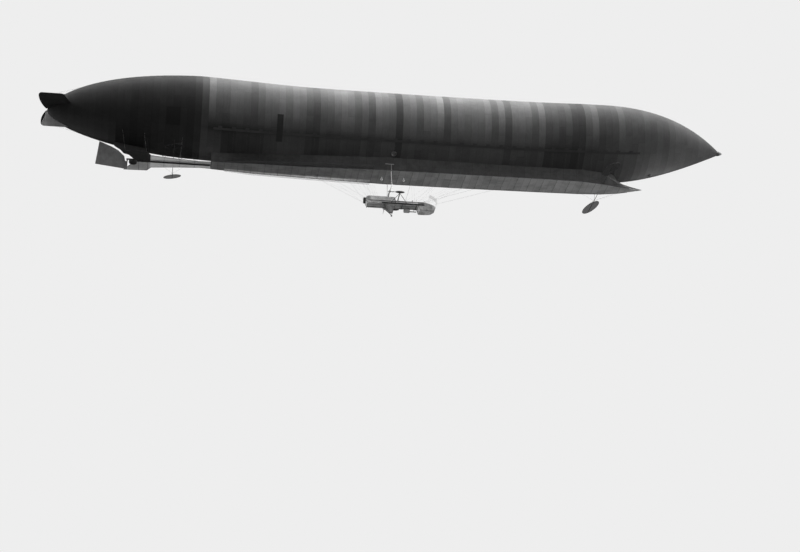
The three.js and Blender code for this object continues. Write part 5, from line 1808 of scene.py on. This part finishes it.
def make_rigging():
    lines = []
    for s in SIGNS:
        path = [[-38.8, s * 0.25, -7.95], [-27.2, s * 0.8, -7.95], [-12.0, s * 0.9, -8.12],
                [-4.5, s * 0.7, -8.1], [-3.0, s * 0.7, -11.7]]
        corners = [[-36.5, s * 2.9, GUY_Z], [-39.6, s * 3.05, GUY_Z], [-31.6, s * 1.25, GUY_Z]]
        lines += [bars(path[:-1], path[1:], 0.008, 5),
                  bars(corners, on_hull(np.array([-37.0, -40.2, -31.4]), s * 33.0), 0.007, 5),
                  bars([32.2, s * 4.25, -7.6], [36.0, s * 0.75, -7.5], 0.007, 5)]
        lines += [torus(point, AHEAD, 0.05, 0.014, 16, 6) for point in path[1:4]]
    put("Control lines", joined(lines), *steel_cable())
    blocks = []
    for x in PULLEY_X:
        floor = float(keel_under(x))
        blocks += [rounded_box((x - 0.07, -0.04, floor - 0.3), (x + 0.07, 0.04, floor + 0.02), 0.015),
                   torus((x, 0, floor - 0.4), ABEAM, 0.13, 0.055, 28, 8)]
    put("Keel pulley blocks", joined(blocks), *pale_enamel())


# Stage: floor, world, lamps and camera, in the model's metres

FLOOR_SPREAD, FLOOR_Z = 4000, -40.0
SKY_TONE = 0.644
SKY_SEEN, SKY_LIGHT = 0.855, 0.09
# Azimuth, elevation and level of the soft lamps that stand for the overcast sky and the light from below
LAMPS = (
    (0, 90, 2.51), (180, 70, 0.975), (180, 30, 0.61), (180, 10, 0.6), (0, 10, 1.175), (0, -10, 0.217),
    (-90, -5, 0.2),
)
LAMP_SPREAD = 60
CAMERA_LENS, CAMERA_REACH = 84.69, 200.0
CAMERA_PLACE = (-3.381, -25.076, -13.454)
CAMERA_FORWARD, CAMERA_RIGHT = (0.1272, 0.9076, 0.4001), (0.9903, -0.1388, 0.0)


def lay_floor(scene):
    """A wide disc far below that gives out the sky's tone and casts nothing on the airship."""
    paint, tree, shader = new_material("Pale floor")
    tree.feed(shader, {"Base Color": grey(0.05), "Roughness": 0.9, "Specular IOR Level": 0.0,
                       "Emission Color": grey(SKY_TONE), "Emission Strength": 1.0})
    mesh = bpy.data.meshes.new("Floor")
    mesh.from_pydata(round_places((0, 0, FLOOR_Z), FLOOR_SPREAD, 96).tolist(), [], [list(range(96))])
    mesh.materials.append(paint)
    floor = bpy.data.objects.new("Floor", mesh)
    scene.collection.objects.link(floor)
    floor.visible_diffuse = floor.visible_glossy = floor.visible_shadow = False


def light_sky(scene):
    """An even sky, bright to the camera and dim as a light, and soft suns that do the lighting."""
    world = bpy.data.worlds.new("Overcast sky")
    scene.world = world
    world.use_nodes = True
    sky = Tree(world.node_tree)
    seen = sky.add("LightPath").outputs["Is Camera Ray"]
    strength = sky.between(seen, 0.0, 1.0, SKY_LIGHT, SKY_SEEN, smooth=False)
    sky.feed(world.node_tree.nodes["Background"], {"Color": grey(1.0), "Strength": strength})
    for azimuth, elevation, level in LAMPS:
        lamp = bpy.data.lights.new(f"Sky at {azimuth} and {elevation}", "SUN")
        lamp.energy = math.pi * level
        lamp.angle = math.radians(LAMP_SPREAD)
        piece = bpy.data.objects.new(lamp.name, lamp)
        turn, rise = math.radians(azimuth), math.radians(elevation)
        toward = Vector((math.cos(turn) * math.cos(rise), math.sin(turn) * math.cos(rise), math.sin(rise)))
        piece.rotation_euler = toward.to_track_quat("Z", "Y").to_euler()
        scene.collection.objects.link(piece)


def make_stage(context):
    scene = context.scene
    lay_floor(scene)
    light_sky(scene)
    camera = bpy.data.cameras.new("Camera")
    camera.lens = CAMERA_LENS
    camera.clip_end = CAMERA_REACH
    seat = bpy.data.objects.new("Camera", camera)
    seat.location = CAMERA_PLACE
    forward, right = Vector(CAMERA_FORWARD).normalized(), Vector(CAMERA_RIGHT).normalized()
    up = right.cross(forward)
    seat.rotation_euler = Matrix((right, up, -forward)).transposed().to_euler()
    scene.collection.objects.link(seat)
    scene.camera = seat
    scene.view_settings.view_transform = "Standard"


def lightness(name, description, default):
    return bpy.props.FloatProperty(name=name, description=description, default=default, min=0, max=1,
                                   subtype="FACTOR")


def length(name, description, default):
    return bpy.props.FloatProperty(name=name, description=description, default=default, unit="LENGTH")


class AirshipTones(bpy.types.PropertyGroup):
    """How light each cloth and the tubes are, from black to white."""

    envelope: lightness("Envelope", "Lightness of the envelope's cloth", 0.095)
    keel_cloth: lightness("Keel cloth", "Lightness of the keel's cloth", 0.6)
    pale_cloth: lightness("Pale cloth", "Lightness of the cloth along the car's sides", 0.9)
    tube: lightness("Tubes", "Lightness of the enamelled tubes", 0.05)


class AirshipSizes(bpy.types.PropertyGroup):
    """Sizes of the surface's own forms, in metres of the real airship."""

    ring_swell: length("Ring swell", "How far each ring of cloth swells", 0.012)
    tape_height: length("Tape height", "How far each seam tape stands out", 0.006)
    cloth_hollow: length("Cloth hollow", "How far the cloth sinks between frames", 0.035)
    stay_radius: length("Stay radius", "Radius of each suspension stay", 0.005)


class AirshipEnvelope(bpy.types.Operator):
    """The sewn envelope with its girdle, rip panel, side strips and patches, and filling neck."""

    bl_idname = "airship.envelope"
    bl_label = "Envelope"

    def execute(self, context):
        make_envelope(context)
        return {"FINISHED"}


class AirshipNoseAndValves(bpy.types.Operator):
    """The nose mooring cap and the two gas valves."""

    bl_idname = "airship.nose_and_valves"
    bl_label = "Nose cap and valves"

    def execute(self, context):
        make_nose_and_valves()
        return {"FINISHED"}


class AirshipSternFins(bpy.types.Operator):
    """The four lobes around the tail with their stays."""

    bl_idname = "airship.stern_fins"
    bl_label = "Stern fins"

    def execute(self, context):
        make_stern_fins()
        return {"FINISHED"}


class AirshipKeel(bpy.types.Operator):
    """The cloth-covered keel, its rails, its lines to the envelope and its edge planes."""

    bl_idname = "airship.keel"
    bl_label = "Keel"

    def execute(self, context):
        make_keel(context)
        return {"FINISHED"}


class AirshipBoom(bpy.types.Operator):
    """The boom behind the keel with its stays, flat plane and fin."""

    bl_idname = "airship.boom"
    bl_label = "Stern boom"

    def execute(self, context):
        make_boom()
        return {"FINISHED"}


class AirshipRudder(bpy.types.Operator):
    """The rudder's cloth and frame."""

    bl_idname = "airship.rudder"
    bl_label = "Rudder"

    def execute(self, context):
        make_rudder()
        return {"FINISHED"}


class AirshipElevatingPlanes(bpy.types.Operator):
    """The four outriggers and the four planes that turn on them."""

    bl_idname = "airship.elevating_planes"
    bl_label = "Elevating planes"

    def execute(self, context):
        make_elevating_planes()
        return {"FINISHED"}


class AirshipCar(bpy.types.Operator):
    """The car's cover, rails, side cloths and floor."""

    bl_idname = "airship.car"
    bl_label = "Car"

    def execute(self, context):
        make_car()
        return {"FINISHED"}


class AirshipEngines(bpy.types.Operator):
    """Both engines, the gearbox and the shafts between them."""

    bl_idname = "airship.engines"
    bl_label = "Engines"

    def execute(self, context):
        make_engines()
        return {"FINISHED"}


class AirshipCarFittings(bpy.types.Operator):
    """Radiators, fuel tank, air fan, silencer and bow screen."""

    bl_idname = "airship.car_fittings"
    bl_label = "Car fittings"

    def execute(self, context):
        make_car_fittings()
        return {"FINISHED"}


class AirshipControls(bpy.types.Operator):
    """The control stand and its two wheels."""

    bl_idname = "airship.controls"
    bl_label = "Controls"

    def execute(self, context):
        make_controls()
        return {"FINISHED"}


class AirshipSuspension(bpy.types.Operator):
    """The rails and stays that carry the car, with their turnbuckles and cross stays."""

    bl_idname = "airship.suspension"
    bl_label = "Suspension"

    def execute(self, context):
        make_suspension(context)
        return {"FINISHED"}


class AirshipDrives(bpy.types.Operator):
    """The gear housings, propeller shafts, drive outriggers and hub stays with their straps."""

    bl_idname = "airship.drives"
    bl_label = "Drives"

    def execute(self, context):
        make_drives()
        return {"FINISHED"}


class AirshipPropellers(bpy.types.Operator):
    """The two propellers with their metal fittings."""

    bl_idname = "airship.propellers"
    bl_label = "Propellers"

    def execute(self, context):
        make_propellers()
        return {"FINISHED"}


class AirshipLandingPyramid(bpy.types.Operator):
    """The four legs and the foot under the car, with their canvas."""

    bl_idname = "airship.landing_pyramid"
    bl_label = "Landing pyramid"

    def execute(self, context):
        make_landing_pyramid()
        return {"FINISHED"}


class AirshipRigging(bpy.types.Operator):
    """The control lines, the guys of the outer planes and the pulley blocks under the keel."""

    bl_idname = "airship.rigging"
    bl_label = "Rigging"

    def execute(self, context):
        make_rigging()
        return {"FINISHED"}


class AirshipStage(bpy.types.Operator):
    """The floor, the overcast sky, its lamps and the camera."""

    bl_idname = "airship.stage"
    bl_label = "Stage"

    def execute(self, context):
        make_stage(context)
        return {"FINISHED"}


OPERATORS = (
    AirshipEnvelope,
    AirshipNoseAndValves,
    AirshipSternFins,
    AirshipKeel,
    AirshipBoom,
    AirshipRudder,
    AirshipElevatingPlanes,
    AirshipCar,
    AirshipEngines,
    AirshipCarFittings,
    AirshipControls,
    AirshipSuspension,
    AirshipDrives,
    AirshipPropellers,
    AirshipLandingPyramid,
    AirshipRigging,
    AirshipStage,
)


class AirshipPanel(bpy.types.Panel):
    """Lists the tones, the sizes and every building step."""

    bl_idname = "AIRSHIP_PT_build"
    bl_label = "Airship"
    bl_space_type = "VIEW_3D"
    bl_region_type = "UI"
    bl_category = "Airship"

    def draw(self, context):
        for settings in (context.scene.airship_tones, context.scene.airship_sizes):
            for name in settings.__annotations__:
                self.layout.prop(settings, name)
        for operator in OPERATORS:
            self.layout.operator(operator.bl_idname)


CLASSES = (AirshipTones, AirshipSizes, *OPERATORS, AirshipPanel)


def register():
    for cls in CLASSES:
        bpy.utils.register_class(cls)
    bpy.types.Scene.airship_tones = bpy.props.PointerProperty(type=AirshipTones)
    bpy.types.Scene.airship_sizes = bpy.props.PointerProperty(type=AirshipSizes)


def unregister():
    del bpy.types.Scene.airship_sizes
    del bpy.types.Scene.airship_tones
    for cls in reversed(CLASSES):
        bpy.utils.unregister_class(cls)


def main():
    register()
    bpy.ops.airship.envelope()
    bpy.ops.airship.nose_and_valves()
    bpy.ops.airship.stern_fins()
    bpy.ops.airship.keel()
    bpy.ops.airship.boom()
    bpy.ops.airship.rudder()
    bpy.ops.airship.elevating_planes()
    bpy.ops.airship.car()
    bpy.ops.airship.engines()
    bpy.ops.airship.car_fittings()
    bpy.ops.airship.controls()
    bpy.ops.airship.suspension()
    bpy.ops.airship.drives()
    bpy.ops.airship.propellers()
    bpy.ops.airship.landing_pyramid()
    bpy.ops.airship.rigging()
    bpy.ops.airship.stage()


if __name__ == "__main__":
    main()
